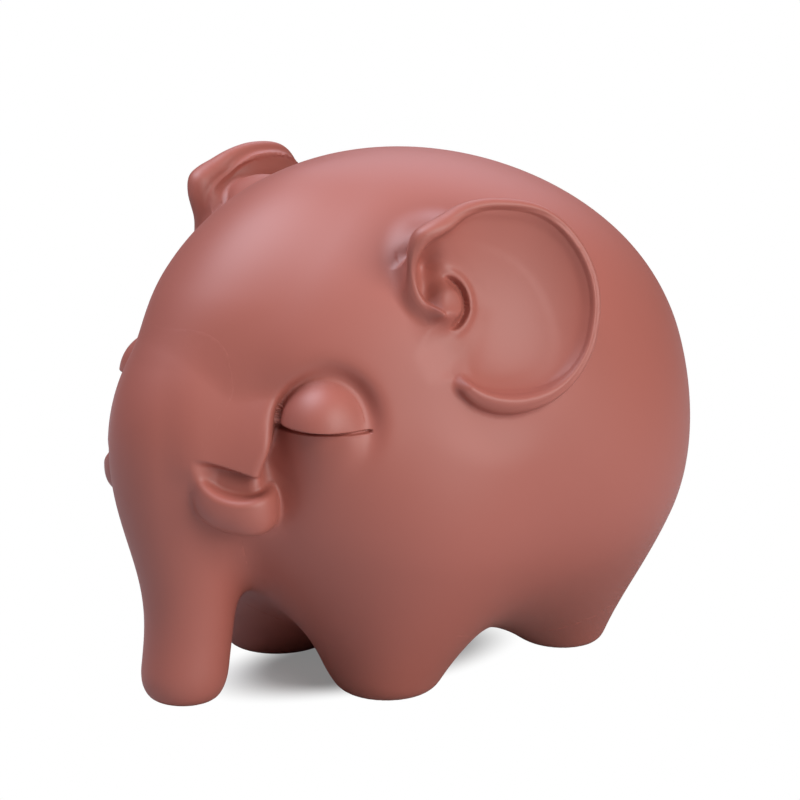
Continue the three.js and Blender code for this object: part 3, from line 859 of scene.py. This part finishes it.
def cut(thing, cutter, operation):
    pick(thing)
    blade = thing.modifiers.new("Blade", "BOOLEAN")
    blade.solver = "MANIFOLD"
    blade.operation = operation
    blade.object = cutter
    bpy.ops.object.modifier_apply(modifier=blade.name)
    if not thing.data.polygons:
        raise RuntimeError("nothing is left of " + thing.name)


def cut_free(cutter, name, node):
    """Takes the part inside the cutter out of the lump, as a piece that stands for a node."""
    lump = bpy.data.objects[LUMP]
    pick(lump)
    bpy.ops.object.duplicate()
    piece = bpy.context.active_object
    piece.name = name
    piece.data.name = name
    cut(piece, cutter, "INTERSECT")
    cut(lump, cutter, "DIFFERENCE")
    bpy.data.objects.remove(cutter)
    finished(piece, node)


def both(name):
    """The two sides of a pair of pieces."""
    return ((1, name + "_left"), (-1, name + "_right"))


# Share of the ball that becomes a pill's wall, in degrees from its middle
PILL_WALL = 12.0


def pill(outline, floor, ceiling, world, side):
    """A closed form with an outline between a floor and a ceiling, worked out of a ball."""
    made = ball("blade", segments=128, rings=64)
    points = points_of(made)
    rise = np.degrees(np.arcsin(np.clip(points[:, 2], -1.0, 1.0)))
    degrees = turn_of(points[:, 0], points[:, 1])
    reach = outline(degrees) * np.clip((90.0 - np.abs(rise)) / (90.0 - PILL_WALL), 0.0, 1.0)
    across = np.sin(np.radians(degrees)) * reach
    up = np.cos(np.radians(degrees)) * reach
    level = np.clip(0.5 + 0.5 * rise / PILL_WALL, 0.0, 1.0)
    height = floor(across, up) * (1.0 - level) + ceiling * level
    return shaped(made, world(across, up, height), side)


# Rough forms that the lump starts from, and where its mesh is made finer
LID_BALL, LID_BALL_PLACE = 4.4 * MM, 2.2 * MM
TUSK_BALL = mm(3.6, 3.4, 3.2)
BACKING_SINK = 0.4 * MM
LEAF_RIM = 24.0
LEAF_RIM_FROM = 2.6
EAR_MARGIN, EAR_DEPTH = 0.8 * MM, 5 * MM
EYE_NEAR = 8.5 * MM
SLIT_NEAR = mm(6.2, 0.9, 6)
CORNER_PLACE, CORNER_NEAR = mm(-4, 2, 0), mm(2.6, 3.6, 5)
RIM_INSIDE, RIM_OUTSIDE, RIM_BEHIND = 2.2 * MM, 0.2 * MM, -1.6 * MM
LOBE_PLACE, LOBE_NEAR = mm(-7.5, 2.4), 5.4 * MM
TUSK_PLACE, TUSK_NEAR, TUSK_NEAREST = mm(9.8, -29.5, 29.0), 10 * MM, 6 * MM
SLIT_PRESS, EAR_PRESS = mm(7, 2, 7), 6 * MM
VENT_LENGTH, VENT_HEIGHT = 20 * MM, 6 * MM


class ELEPHANT_OT_lump(bpy.types.Operator):
    """The whole figure as one lump of clay, before its pieces are parted"""
    bl_idname = "elephant.lump"
    bl_label = "Clay lump"

    def execute(self, context):
        sizes = context.scene.elephant_body
        figure = Figure()
        lump = joined(LUMP, self.rough_parts(sizes, figure))
        remeshed(lump)
        give_points(lump, settled(points_of(lump), figure, rounds=7, longest=ROUGH_STEP))
        relaxed(lump, figure, rounds=2)
        remeshed(lump)
        give_points(lump, settled(points_of(lump), figure, rounds=3, longest=FINE_STEP))
        relaxed(lump, figure, rounds=3)
        self.refine(lump, figure)
        self.press(lump, figure)
        place = (0.0, sizes.vent_place, VENT_HEIGHT)
        vent = rod(sizes.vent_radius, VENT_LENGTH, place, sides=64)
        cut(lump, vent, "DIFFERENCE")
        bpy.data.objects.remove(vent)
        return {"FINISHED"}

    def rough_parts(self, sizes, figure):
        """Balls and limbs that together hold every form of the figure."""
        parts = [ball("body", sizes.body_centre, sizes.body_halves),
                 ball("head", sizes.head_centre, sizes.head_halves)]
        eye = figure.eye
        for side in (1, -1):
            turn = Vector((side, 1, 1))
            for foot, foot_radius, hip, hip_radius in leg_sizes(sizes):
                sole = Vector((foot[0], foot[1], 0.0)) * turn
                parts.append(limb("leg", [(Vector(hip) * turn, hip_radius),
                                          (Vector(foot) * turn, foot_radius),
                                          (sole, foot_radius * SOLE_SHARE)]))
            parts.append(limb("flank", [(Vector((x * side, y, z)), radius)
                                        for (x, y, z), radius in FLANK_STATIONS]))
            lid = eye.place + LID_BALL_PLACE * eye.up - LID_BALL_PLACE * eye.out
            parts.append(ball("lid", lid * np.array(turn), (LID_BALL,) * 3))
            tusk = np.array(figure.face.tusk_centre) * np.array(turn)
            parts.append(ball("tusk", tusk, TUSK_BALL))
            parts.append(self.leaf(figure.ear, side))
            for centre, halves in (EAR_ROOT, EAR_BACKING):
                form = ball("backing")
                across, up, out = (points_of(form) * halves + centre).T
                placed = figure.ear.world(across, up, out - BACKING_SINK)
                parts.append(shaped(form, placed, side))
        parts.append(limb("trunk", trunk_stations(0.0)))
        return parts

    def leaf(self, ear, side):
        """The ear alone, worked out of a ball: two flat sides and a round rim between them."""
        made = ball("leaf", segments=128, rings=96)
        points = points_of(made)
        turn = np.arctan2(points[:, 0], points[:, 1])
        sine, cosine = np.sin(turn), np.cos(turn)
        rise = np.degrees(np.arcsin(np.clip(points[:, 2], -1.0, 1.0)))
        edge = ear_radius(np.degrees(turn))
        rim = EarCourse(sine * edge, cosine * edge)
        round_turn = np.radians(np.clip(np.abs(rise) / LEAF_RIM, 0.0, 1.0) * 90.0)
        spread = np.clip((90.0 - np.abs(rise)) / (90.0 - LEAF_RIM), 0.0, 1.0)
        reach = (edge - rim.roll) * spread + rim.roll * np.cos(round_turn)
        inside = EarCourse(sine * reach, cosine * reach)
        half = inside.thickness / 2.0
        middle = inside.bowl - half
        near_rim = ease(reach, edge - LEAF_RIM_FROM * rim.roll, edge - rim.roll)
        middle = middle + (rim.lift - middle) * near_rim
        half = half + (rim.roll - half) * near_rim
        height = middle - inside.dive + np.sign(rise) * np.sin(round_turn) * half
        return shaped(made, ear.world(sine * reach, cosine * reach, height), side)

    def refine(self, lump, figure):
        """Makes the mesh finer in three steps, round the ears, eyes and tusks."""
        eye, ear = figure.eye, figure.ear

        def near_ear(middles):
            across, up, out = ear.split(middles)
            edge = ear_radius(turn_of(across, up))
            return (np.hypot(across, up) < edge + EAR_MARGIN) & (np.abs(out) < EAR_DEPTH)

        def near_eye(middles):
            return np.linalg.norm(eye.local(middles), axis=1) < EYE_NEAR

        def near_slit(middles):
            local = eye.local(middles)
            local[:, 1] -= closed_line(local[:, 0])
            return (np.abs(local) < SLIT_NEAR).all(axis=1)

        def near_corner(middles):
            return (np.abs(eye.local(middles) - CORNER_PLACE) < CORNER_NEAR).all(axis=1)

        def near_detail(middles):
            across, up, out = ear.split(middles)
            edge = ear_radius(turn_of(across, up))
            reach = np.hypot(across, up)
            rim = (reach > edge - RIM_INSIDE) & (reach < edge + RIM_OUTSIDE) & (out > RIM_BEHIND)
            lobe = np.hypot(across - LOBE_PLACE[0], up - LOBE_PLACE[1]) < LOBE_NEAR
            return (rim | lobe) & (np.abs(out) < EAR_DEPTH)

        def near_tusk(middles, reach):
            return np.linalg.norm(middles - TUSK_PLACE, axis=1) < reach

        def coarse(middles):
            return near_eye(middles) | near_ear(middles) | near_tusk(middles, TUSK_NEAR)

        def finest(middles):
            return near_slit(middles) | near_corner(middles)

        def fine(middles):
            return finest(middles) | near_detail(middles) | near_tusk(middles, TUSK_NEAREST)

        for inside in (coarse, fine, finest):
            refined(lump, inside)
            relaxed(lump, figure, rounds=2)

    def press(self, lump, figure):
        """Works the fine relief of the ears and the slits of the eyes, straight in and out."""
        points = points_of(lump)
        left = folded(points)
        local = figure.eye.local(left)
        near = (np.abs(local) < SLIT_PRESS).all(axis=1)
        left[near] -= slit_depth(local[near, 0], local[near, 1])[:, None] * figure.eye.out
        across, up, out = figure.ear.split(left)
        near = (np.hypot(across, up) < EAR_CLOSE) & (np.abs(out) < EAR_PRESS)
        raised = ear_relief(across[near], up[near], out[near])
        left[near] += raised[:, None] * figure.ear.out
        left[:, 0] *= np.where(points[:, 0] < 0.0, -1.0, 1.0)
        give_points(lump, left)


# The ears' cutter: room round the edge, before and behind, depth of the seat, least thickness
EAR_ROOM, EAR_FRONT_ROOM, EAR_BACK_ROOM = 0.7 * MM, 7 * MM, 0.8 * MM
EAR_SEAT, EAR_THINNEST = 1.2 * MM, 1.3 * MM
# The search for the skin: how far it goes to each side of the ear's plane, and its rounds
SKIN_DEEP, SKIN_ROUNDS = 25 * MM, 24


def skin_under_ear(ear, across, up):
    """Height of the body's skin over the ear's own plane."""
    low = np.full(len(across), -SKIN_DEEP)
    high = np.full(len(across), SKIN_DEEP)
    for _ in range(SKIN_ROUNDS):
        middle = (low + high) / 2.0
        inside = torso(ear.world(across, up, middle)) < 0.0
        low = np.where(inside, middle, low)
        high = np.where(inside, high, middle)
    return (low + high) / 2.0


class ELEPHANT_OT_ears(bpy.types.Operator):
    """Ears: dished leaves with a rolled rim, a fold and a lobe"""
    bl_idname = "elephant.ears"
    bl_label = "Ears"

    def execute(self, context):
        ear = EarFrame()
        sizes = context.scene.elephant_ear

        def outline(degrees):
            return ear_radius(degrees) + EAR_ROOM

        def floor(across, up):
            edge = ear_radius(turn_of(across, up))
            part = np.clip(np.hypot(across, up) / edge, 0.0, 1.0)
            bowl = -sizes.dish * (1.0 - part ** 2)
            seat = skin_under_ear(ear, across, up) - EAR_SEAT
            behind = bowl - sizes.thickness - EAR_BACK_ROOM
            return np.minimum(np.maximum(seat, behind), bowl - EAR_THINNEST)

        for side, name in both("ear"):
            cutter = pill(outline, floor, EAR_FRONT_ROOM, ear.world, side)
            cut_free(cutter, "leaf_" + name, name)
        return {"FINISHED"}


# The eyelids' cutter: its size as a share of the lid's, how deep and high it goes, and how low
LID_ROOM = 1.02
LID_FLOOR, LID_CEILING = -3.4 * MM, 5 * MM
LID_UNDER = 0.1 * MM


class ELEPHANT_OT_eyelids(bpy.types.Operator):
    """Eyelids: half domes over the closed lines of the eyes"""
    bl_idname = "elephant.eyelids"
    bl_label = "Eyelids"

    def execute(self, context):
        eye = EyeFrame()
        face = context.scene.elephant_face

        def outline(degrees):
            turn = np.radians(degrees)
            return LID_ROOM / np.hypot(np.sin(turn) / face.lid_half_length,
                                       np.cos(turn) / face.lid_height)

        def floor(across, up):
            return np.full(len(across), LID_FLOOR)

        def world(across, up, out):
            across = across - LID_SHIFT
            up = np.maximum(up + LID_SHIFT, closed_line(across) - LID_UNDER)
            return eye.world(across, up, out)

        for side, name in both("eyelid"):
            cutter = pill(outline, floor, LID_CEILING, world, side)
            cut_free(cutter, "dome_" + name, name)
        return {"FINISHED"}


# How far the trunk's cutter stands off it, and the legs' cutters reach below the table
TRUNK_ROOM = 1.6 * MM
BELOW_TABLE = 1 * MM


class ELEPHANT_OT_trunk(bpy.types.Operator):
    """Trunk: one round limb from the forehead to the table"""
    bl_idname = "elephant.trunk"
    bl_label = "Trunk"

    def execute(self, context):
        cut_free(limb("blade", trunk_stations(TRUNK_ROOM), sides=64), "trunk_limb", "trunk")
        return {"FINISHED"}


class ELEPHANT_OT_legs(bpy.types.Operator):
    """Legs: four short feet under the belly"""
    bl_idname = "elephant.legs"
    bl_label = "Legs"

    def execute(self, context):
        sizes = context.scene.elephant_body
        height = sizes.seat_height
        ends = (("front", sizes.front_foot, sizes.front_seat_radius),
                ("rear", sizes.rear_foot, sizes.rear_seat_radius))
        for across, side in ((1, "left"), (-1, "right")):
            for end, foot, seat in ends:
                place = (foot[0] * across, foot[1], (height - BELOW_TABLE) / 2.0)
                blade = rod(seat, height + BELOW_TABLE, place, sides=96)
                cut_free(blade, "foot_" + end + "_" + side, "leg_" + end + "_" + side)
        return {"FINISHED"}


# The cube that takes off the left half: its size, and where its middle lies
HALF_CUBE, HALF_CUBE_PLACE = 0.1, (0.05, 0.0, 0.03)


class ELEPHANT_OT_body(bpy.types.Operator):
    """Body: two halves that meet in the middle plane"""
    bl_idname = "elephant.body"
    bl_label = "Body halves"

    def execute(self, context):
        deselect()
        bpy.ops.mesh.primitive_cube_add(size=HALF_CUBE, location=HALF_CUBE_PLACE)
        cut_free(applied(), "half_left", "body_shell_left")
        rest = bpy.data.objects[LUMP]
        rest.name = "half_right"
        rest.data.name = "half_right"
        finished(rest, "body_shell_right")
        return {"FINISHED"}


# The tusks' cutter: radius of the ball it starts from in millimetres, and room round the tusk
TUSK_SEED, TUSK_ROOM = 3.4, 0.4 * MM


class ELEPHANT_OT_tusks(bpy.types.Operator):
    """Tusks: blunt stubs that come out under the ledge"""
    bl_idname = "elephant.tusks"
    bl_label = "Tusks"

    def execute(self, context):
        face = context.scene.elephant_face
        for side, name in both("tusk"):
            blade = ball("blade", segments=96, rings=64)
            points = points_of(blade) * TUSK_SEED * MM + np.array(face.tusk_centre)
            points = settled(points, lambda at: tusk_form(at) - TUSK_ROOM, rounds=12,
                             longest=ROUGH_STEP)
            cut_free(shaped(blade, points, side), "stub_" + name, name)
        return {"FINISHED"}


# Tail: how far its first and last stations lie inside its box, and its radii on the way down
TAIL_STATIONS = 12
TAIL_TOP, TAIL_FOOT = 1.9 * MM, 2 * MM
TAIL_RADII = mm(1.9, 1.3, 1.3, 2)
TAIL_START, TAIL_PROUD = 6.2 * MM, 0.4 * MM
TAIL_ROUNDING = ((0.55, 0.82), (0.9, 0.4))


class ELEPHANT_OT_tail(bpy.types.Operator):
    """Tail: a thin roll of clay down the rump"""
    bl_idname = "elephant.tail"
    bl_label = "Tail"

    def execute(self, context):
        low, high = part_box("tail")
        heights = np.linspace(high.z - TAIL_TOP, low.z + TAIL_FOOT, TAIL_STATIONS)
        radii = through([0, 1, 2, 3], TAIL_RADII, np.linspace(0.0, 3.0, TAIL_STATIONS))
        backwards = np.array([0.0, 1.0, 0.0])
        stations = []
        for z, radius in zip(heights, radii):
            start = np.array([0.0, TAIL_START, z])
            y = start[1] + skin_reach(start, backwards) + TAIL_PROUD
            stations.append((Vector((0.0, y, z)), radius))
        cap = [self.rounding(stations[0], past, left) for past, left in TAIL_ROUNDING[::-1]]
        foot = [self.rounding(stations[-1], -past, left) for past, left in TAIL_ROUNDING]
        tail = limb("tail", cap + stations + foot, sides=24)
        tail.name = "tail_roll"
        rounder = tail.modifiers.new("Rounder", "SUBSURF")
        rounder.levels = 2
        rounder.render_levels = 2
        pick(tail)
        bpy.ops.object.modifier_apply(modifier=rounder.name)
        finished(tail, "tail")
        return {"FINISHED"}

    def rounding(self, station, past, left):
        """A narrower station past the end of the roll, both as shares of its radius."""
        place, radius = station
        return place + Vector((0, 0, radius * past)), radius * left


# Materials
class Wire:
    """A value that flows between shader nodes; arithmetic on it adds Math nodes."""

    def __init__(self, tree, socket):
        self.tree = tree
        self.socket = socket

    def maths(self, operation, first, second):
        return self.tree.node("ShaderNodeMath", {"operation": operation}, {0: first, 1: second})

    def __add__(self, other):
        return self.maths("ADD", self, other)

    def __radd__(self, other):
        return self.maths("ADD", other, self)

    def __sub__(self, other):
        return self.maths("SUBTRACT", self, other)

    def __rsub__(self, other):
        return self.maths("SUBTRACT", other, self)

    def __mul__(self, other):
        return self.maths("MULTIPLY", self, other)


class Tree:
    """The node tree of one material or world, emptied first."""

    def __init__(self, owner):
        owner.use_nodes = True
        self.nodes = owner.node_tree.nodes
        self.links = owner.node_tree.links
        self.nodes.clear()

    def node(self, kind, settings=None, inputs=None, output=0):
        made = self.nodes.new(kind)
        for key, value in (settings or {}).items():
            setattr(made, key, value)
        for key, value in (inputs or {}).items():
            if isinstance(value, Wire):
                self.links.new(value.socket, made.inputs[key])
            else:
                made.inputs[key].default_value = value
        return Wire(self, made.outputs[output]) if made.outputs else None

    def ranged(self, value, low, high):
        """Nothing below the low value, one above the high value, and smooth in between."""
        return self.node("ShaderNodeMapRange", {"clamp": True, "interpolation_type": "SMOOTHSTEP"},
                         {"Value": value, "From Min": low, "From Max": high})

    def blended(self, factor, first, second):
        """One colour laid over another."""
        return self.node("ShaderNodeMix", {"data_type": "RGBA"},
                         {0: factor, 6: first, 7: second}, 2)

    def vectors(self, operation, first, second):
        return self.node("ShaderNodeVectorMath", {"operation": operation}, {0: first, 1: second})


def opaque(colour):
    return (colour[0], colour[1], colour[2], 1.0)


# Sizes of the clay's patches, mottles, sand and grain, as repeats in a metre
DRIFT_SCALE, MOTTLE_SCALE, SAND_SCALE, GRAIN_SCALE = 45.0, 420.0, 1500.0, 3600.0
# The part of each noise over which it comes to show
DRIFT_RANGE, MOTTLE_RANGE, GRAIN_RANGE = (0.35, 0.65), (0.3, 0.7), (0.55, 0.8)
# Specks and pores: cells in a metre, the colour channel that chooses among them, a dot's core
# and edge as shares of its cell, and the values up to which a cell has none and from which one
SPECKS = (620.0, 0, 0.05, 0.11, 0.9, 0.93)
# Pores are small pits in the relief, and they are also darkened in colour as painted shade.
PORES = (900.0, 1, 0.06, 0.14, 0.93, 0.96)
# What each of them adds to the fine relief and to the roughness, and how deep the relief is
GRAIN_HEIGHT, SAND_HEIGHT, SPECK_HEIGHT, PORE_DEPTH = 0.5, 0.5, 0.8, 1.5
MOTTLE_ROUGHNESS, GRAIN_ROUGHNESS = 0.08, 0.12
RELIEF_DEPTH = 0.04 * MM


def clay_material():
    finish = bpy.context.scene.elephant_clay
    material = bpy.data.materials.new(CLAY_SLOT)
    tree = Tree(material)
    place = tree.node("ShaderNodeTexCoord", output="Object")

    def noise(scale, detail, roughness=0.5):
        return tree.node("ShaderNodeTexNoise", {}, {
            "Vector": place, "Scale": scale, "Detail": detail, "Roughness": roughness}, "Fac")

    def dots(scale, channel, core, edge, passed_over, chosen):
        """Small round dots in some of the cells that fill the clay."""
        cells = {"Vector": place, "Scale": scale}
        near = tree.node("ShaderNodeTexVoronoi", {}, cells, "Distance")
        colour = tree.node("ShaderNodeTexVoronoi", {}, cells, "Color")
        chance = tree.node("ShaderNodeSeparateColor", {}, {0: colour}, channel)
        return (1.0 - tree.ranged(near, core, edge)) * tree.ranged(chance, passed_over, chosen)

    drift = tree.ranged(noise(DRIFT_SCALE, 2.0), *DRIFT_RANGE)
    mottle = tree.ranged(noise(MOTTLE_SCALE, 3.0), *MOTTLE_RANGE)
    grain = noise(GRAIN_SCALE, 2.0, roughness=0.6)
    speck = dots(*SPECKS)
    pore = dots(*PORES)
    deep = opaque(finish.deep)
    colour = tree.blended(drift, opaque(finish.clay), opaque(finish.warm))
    colour = tree.blended(mottle * finish.mottling, colour, deep)
    colour = tree.blended(tree.ranged(grain, *GRAIN_RANGE) * finish.graininess, colour, deep)
    colour = tree.blended(speck * finish.speckling, colour, opaque(finish.speck))
    # Painted shade: each pore is darkened towards the deep colour.
    colour = tree.blended(pore * finish.pore_shade, colour, deep)
    height = (grain * GRAIN_HEIGHT + noise(SAND_SCALE, 2.0) * SAND_HEIGHT
              - pore * PORE_DEPTH + speck * SPECK_HEIGHT)
    bump = tree.node("ShaderNodeBump", {}, {
        "Strength": finish.relief, "Distance": RELIEF_DEPTH, "Height": height})
    rough = finish.roughness + (mottle - 0.5) * MOTTLE_ROUGHNESS + (grain - 0.5) * GRAIN_ROUGHNESS
    shader = tree.node("ShaderNodeBsdfPrincipled", {}, {
        "Base Color": colour, "Roughness": rough, "Normal": bump, "IOR": finish.refraction})
    tree.node("ShaderNodeOutputMaterial", {}, {"Surface": shader})
    return material


# Stage. Each lamp: bearing and rise in degrees, distance, width and height, watts, colour
LAMPS = {
    "key": (-42, 68, 0.55, 0.4, 0.35, 3.8, (0.83, 0.87, 1.0)),
    "fill": (96, 24, 0.6, 0.45, 0.45, 3.6, (1.0, 1.0, 1.0)),
    "edge": (-140, 38, 0.6, 0.4, 0.3, 0.9, (0.76, 0.82, 1.0)),
}
# The part of the table that shows its shadow to the camera, before it fades into white
SHADE_MIDDLE = (0.0, -5 * MM, 0.0)
SHADE_HALVES = (9 * MM, 17 * MM, 1.0)
SHADE_FADES = (0.7, 1.35)
SHADE_WHITE = 0.2
SENSOR_WIDTH = 36.0
CLIP_NEAR, CLIP_FAR = 10 * MM, 20.0
TABLE_SIZE = 8.0
WHITE = (1, 1, 1, 1)


def aimed(thing, place, target):
    bpy.context.scene.collection.objects.link(thing)
    thing.location = place
    thing.rotation_euler = (target - place).to_track_quat("-Z", "Y").to_euler()


def bearing_vector(bearing, rise):
    return Vector((math.sin(bearing) * math.cos(rise), -math.cos(bearing) * math.cos(rise),
                   math.sin(rise)))


class ELEPHANT_OT_stage(bpy.types.Operator):
    """White table, soft studio light and the camera"""
    bl_idname = "elephant.stage"
    bl_label = "Stage"

    def execute(self, context):
        settings = context.scene.elephant_stage
        scene = context.scene
        scene.view_settings.view_transform = "Standard"
        self.floor(settings)
        self.world(scene, settings)
        aim = Vector(settings.camera_aim)
        for name, (bearing, rise, distance, width, high, power, colour) in LAMPS.items():
            lamp = bpy.data.lights.new(name, "AREA")
            lamp.color = colour
            lamp.shape = "RECTANGLE"
            lamp.size = width
            lamp.size_y = high
            lamp.energy = power
            way = bearing_vector(math.radians(bearing), math.radians(rise))
            aimed(bpy.data.objects.new(name, lamp), aim + way * distance, aim)
        camera = bpy.data.cameras.new("camera")
        camera.lens = settings.lens
        camera.sensor_width = SENSOR_WIDTH
        camera.shift_x = settings.shift_across
        camera.shift_y = settings.shift_up
        camera.clip_start = CLIP_NEAR
        camera.clip_end = CLIP_FAR
        scene.camera = bpy.data.objects.new("camera", camera)
        back = bearing_vector(settings.camera_bearing, settings.camera_rise)
        aimed(scene.camera, aim + back * settings.camera_distance, aim)
        return {"FINISHED"}

    def floor(self, settings):
        deselect()
        bpy.ops.mesh.primitive_plane_add(size=TABLE_SIZE, location=(0, 0, 0))
        table = bpy.context.active_object
        table.name = "table"
        material = bpy.data.materials.new("white_table")
        tree = Tree(material)
        matt = tree.node("ShaderNodeBsdfDiffuse", {}, {"Color": opaque(settings.floor_colour)})
        white = tree.node("ShaderNodeEmission", {}, {"Color": WHITE, "Strength": 1.0})
        place = tree.node("ShaderNodeTexCoord", output="Object")
        within = tree.vectors("DIVIDE", tree.vectors("SUBTRACT", place, SHADE_MIDDLE),
                              SHADE_HALVES)
        away = tree.node("ShaderNodeVectorMath", {"operation": "LENGTH"}, {0: within}, "Value")
        seen = tree.node("ShaderNodeLightPath", output="Is Camera Ray")
        fading = tree.ranged(away, *SHADE_FADES) * (1.0 - SHADE_WHITE) + SHADE_WHITE
        mixed = tree.node("ShaderNodeMixShader", {}, {0: fading * seen, 1: matt, 2: white})
        tree.node("ShaderNodeOutputMaterial", {}, {"Surface": mixed})
        table.data.materials.append(material)

    def world(self, scene, settings):
        scene.world = bpy.data.worlds.new("studio")
        tree = Tree(scene.world)
        seen = tree.node("ShaderNodeLightPath", output="Is Camera Ray")
        strength = seen * (1.0 - settings.ambient) + settings.ambient
        air = tree.node("ShaderNodeBackground", {}, {"Color": WHITE, "Strength": strength})
        tree.node("ShaderNodeOutputWorld", {}, {"Surface": air})


class ELEPHANT_OT_clay(bpy.types.Operator):
    """The fired clay's material"""
    bl_idname = "elephant.clay"
    bl_label = "Clay"

    def execute(self, context):
        material = clay_material()
        for node in frame["nodes"].values():
            node.data.materials.clear()
            node.data.materials.append(material)
        return {"FINISHED"}


class ELEPHANT_PT_panel(bpy.types.Panel):
    """Buttons that build the elephant"""
    bl_label = "Elephant tea pet"
    bl_idname = "ELEPHANT_PT_panel"
    bl_space_type = "VIEW_3D"
    bl_region_type = "UI"
    bl_category = "Elephant"

    def draw(self, context):
        for operator in OPERATORS:
            self.layout.operator(operator.bl_idname)


OPERATORS = (ELEPHANT_OT_stage, ELEPHANT_OT_clay, ELEPHANT_OT_lump, ELEPHANT_OT_ears,
             ELEPHANT_OT_eyelids, ELEPHANT_OT_tusks, ELEPHANT_OT_trunk, ELEPHANT_OT_legs,
             ELEPHANT_OT_body, ELEPHANT_OT_tail)
GROUPS = {"elephant_body": BodySizes, "elephant_face": FaceSizes, "elephant_ear": EarSizes,
          "elephant_clay": ClayFinish, "elephant_stage": StageSettings}


def register():
    for group in GROUPS.values():
        bpy.utils.register_class(group)
    for name, group in GROUPS.items():
        setattr(bpy.types.Scene, name, PointerProperty(type=group))
    for operator in OPERATORS:
        bpy.utils.register_class(operator)
    bpy.utils.register_class(ELEPHANT_PT_panel)


def unregister():
    bpy.utils.unregister_class(ELEPHANT_PT_panel)
    for operator in reversed(OPERATORS):
        bpy.utils.unregister_class(operator)
    for name, group in GROUPS.items():
        delattr(bpy.types.Scene, name)
        bpy.utils.unregister_class(group)


def main():
    register()
    bpy.ops.elephant.stage()
    bpy.ops.elephant.clay()
    bpy.ops.elephant.lump()
    bpy.ops.elephant.ears()
    bpy.ops.elephant.eyelids()
    bpy.ops.elephant.tusks()
    bpy.ops.elephant.trunk()
    bpy.ops.elephant.legs()
    bpy.ops.elephant.body()
    bpy.ops.elephant.tail()


if __name__ == "__main__":
    main()
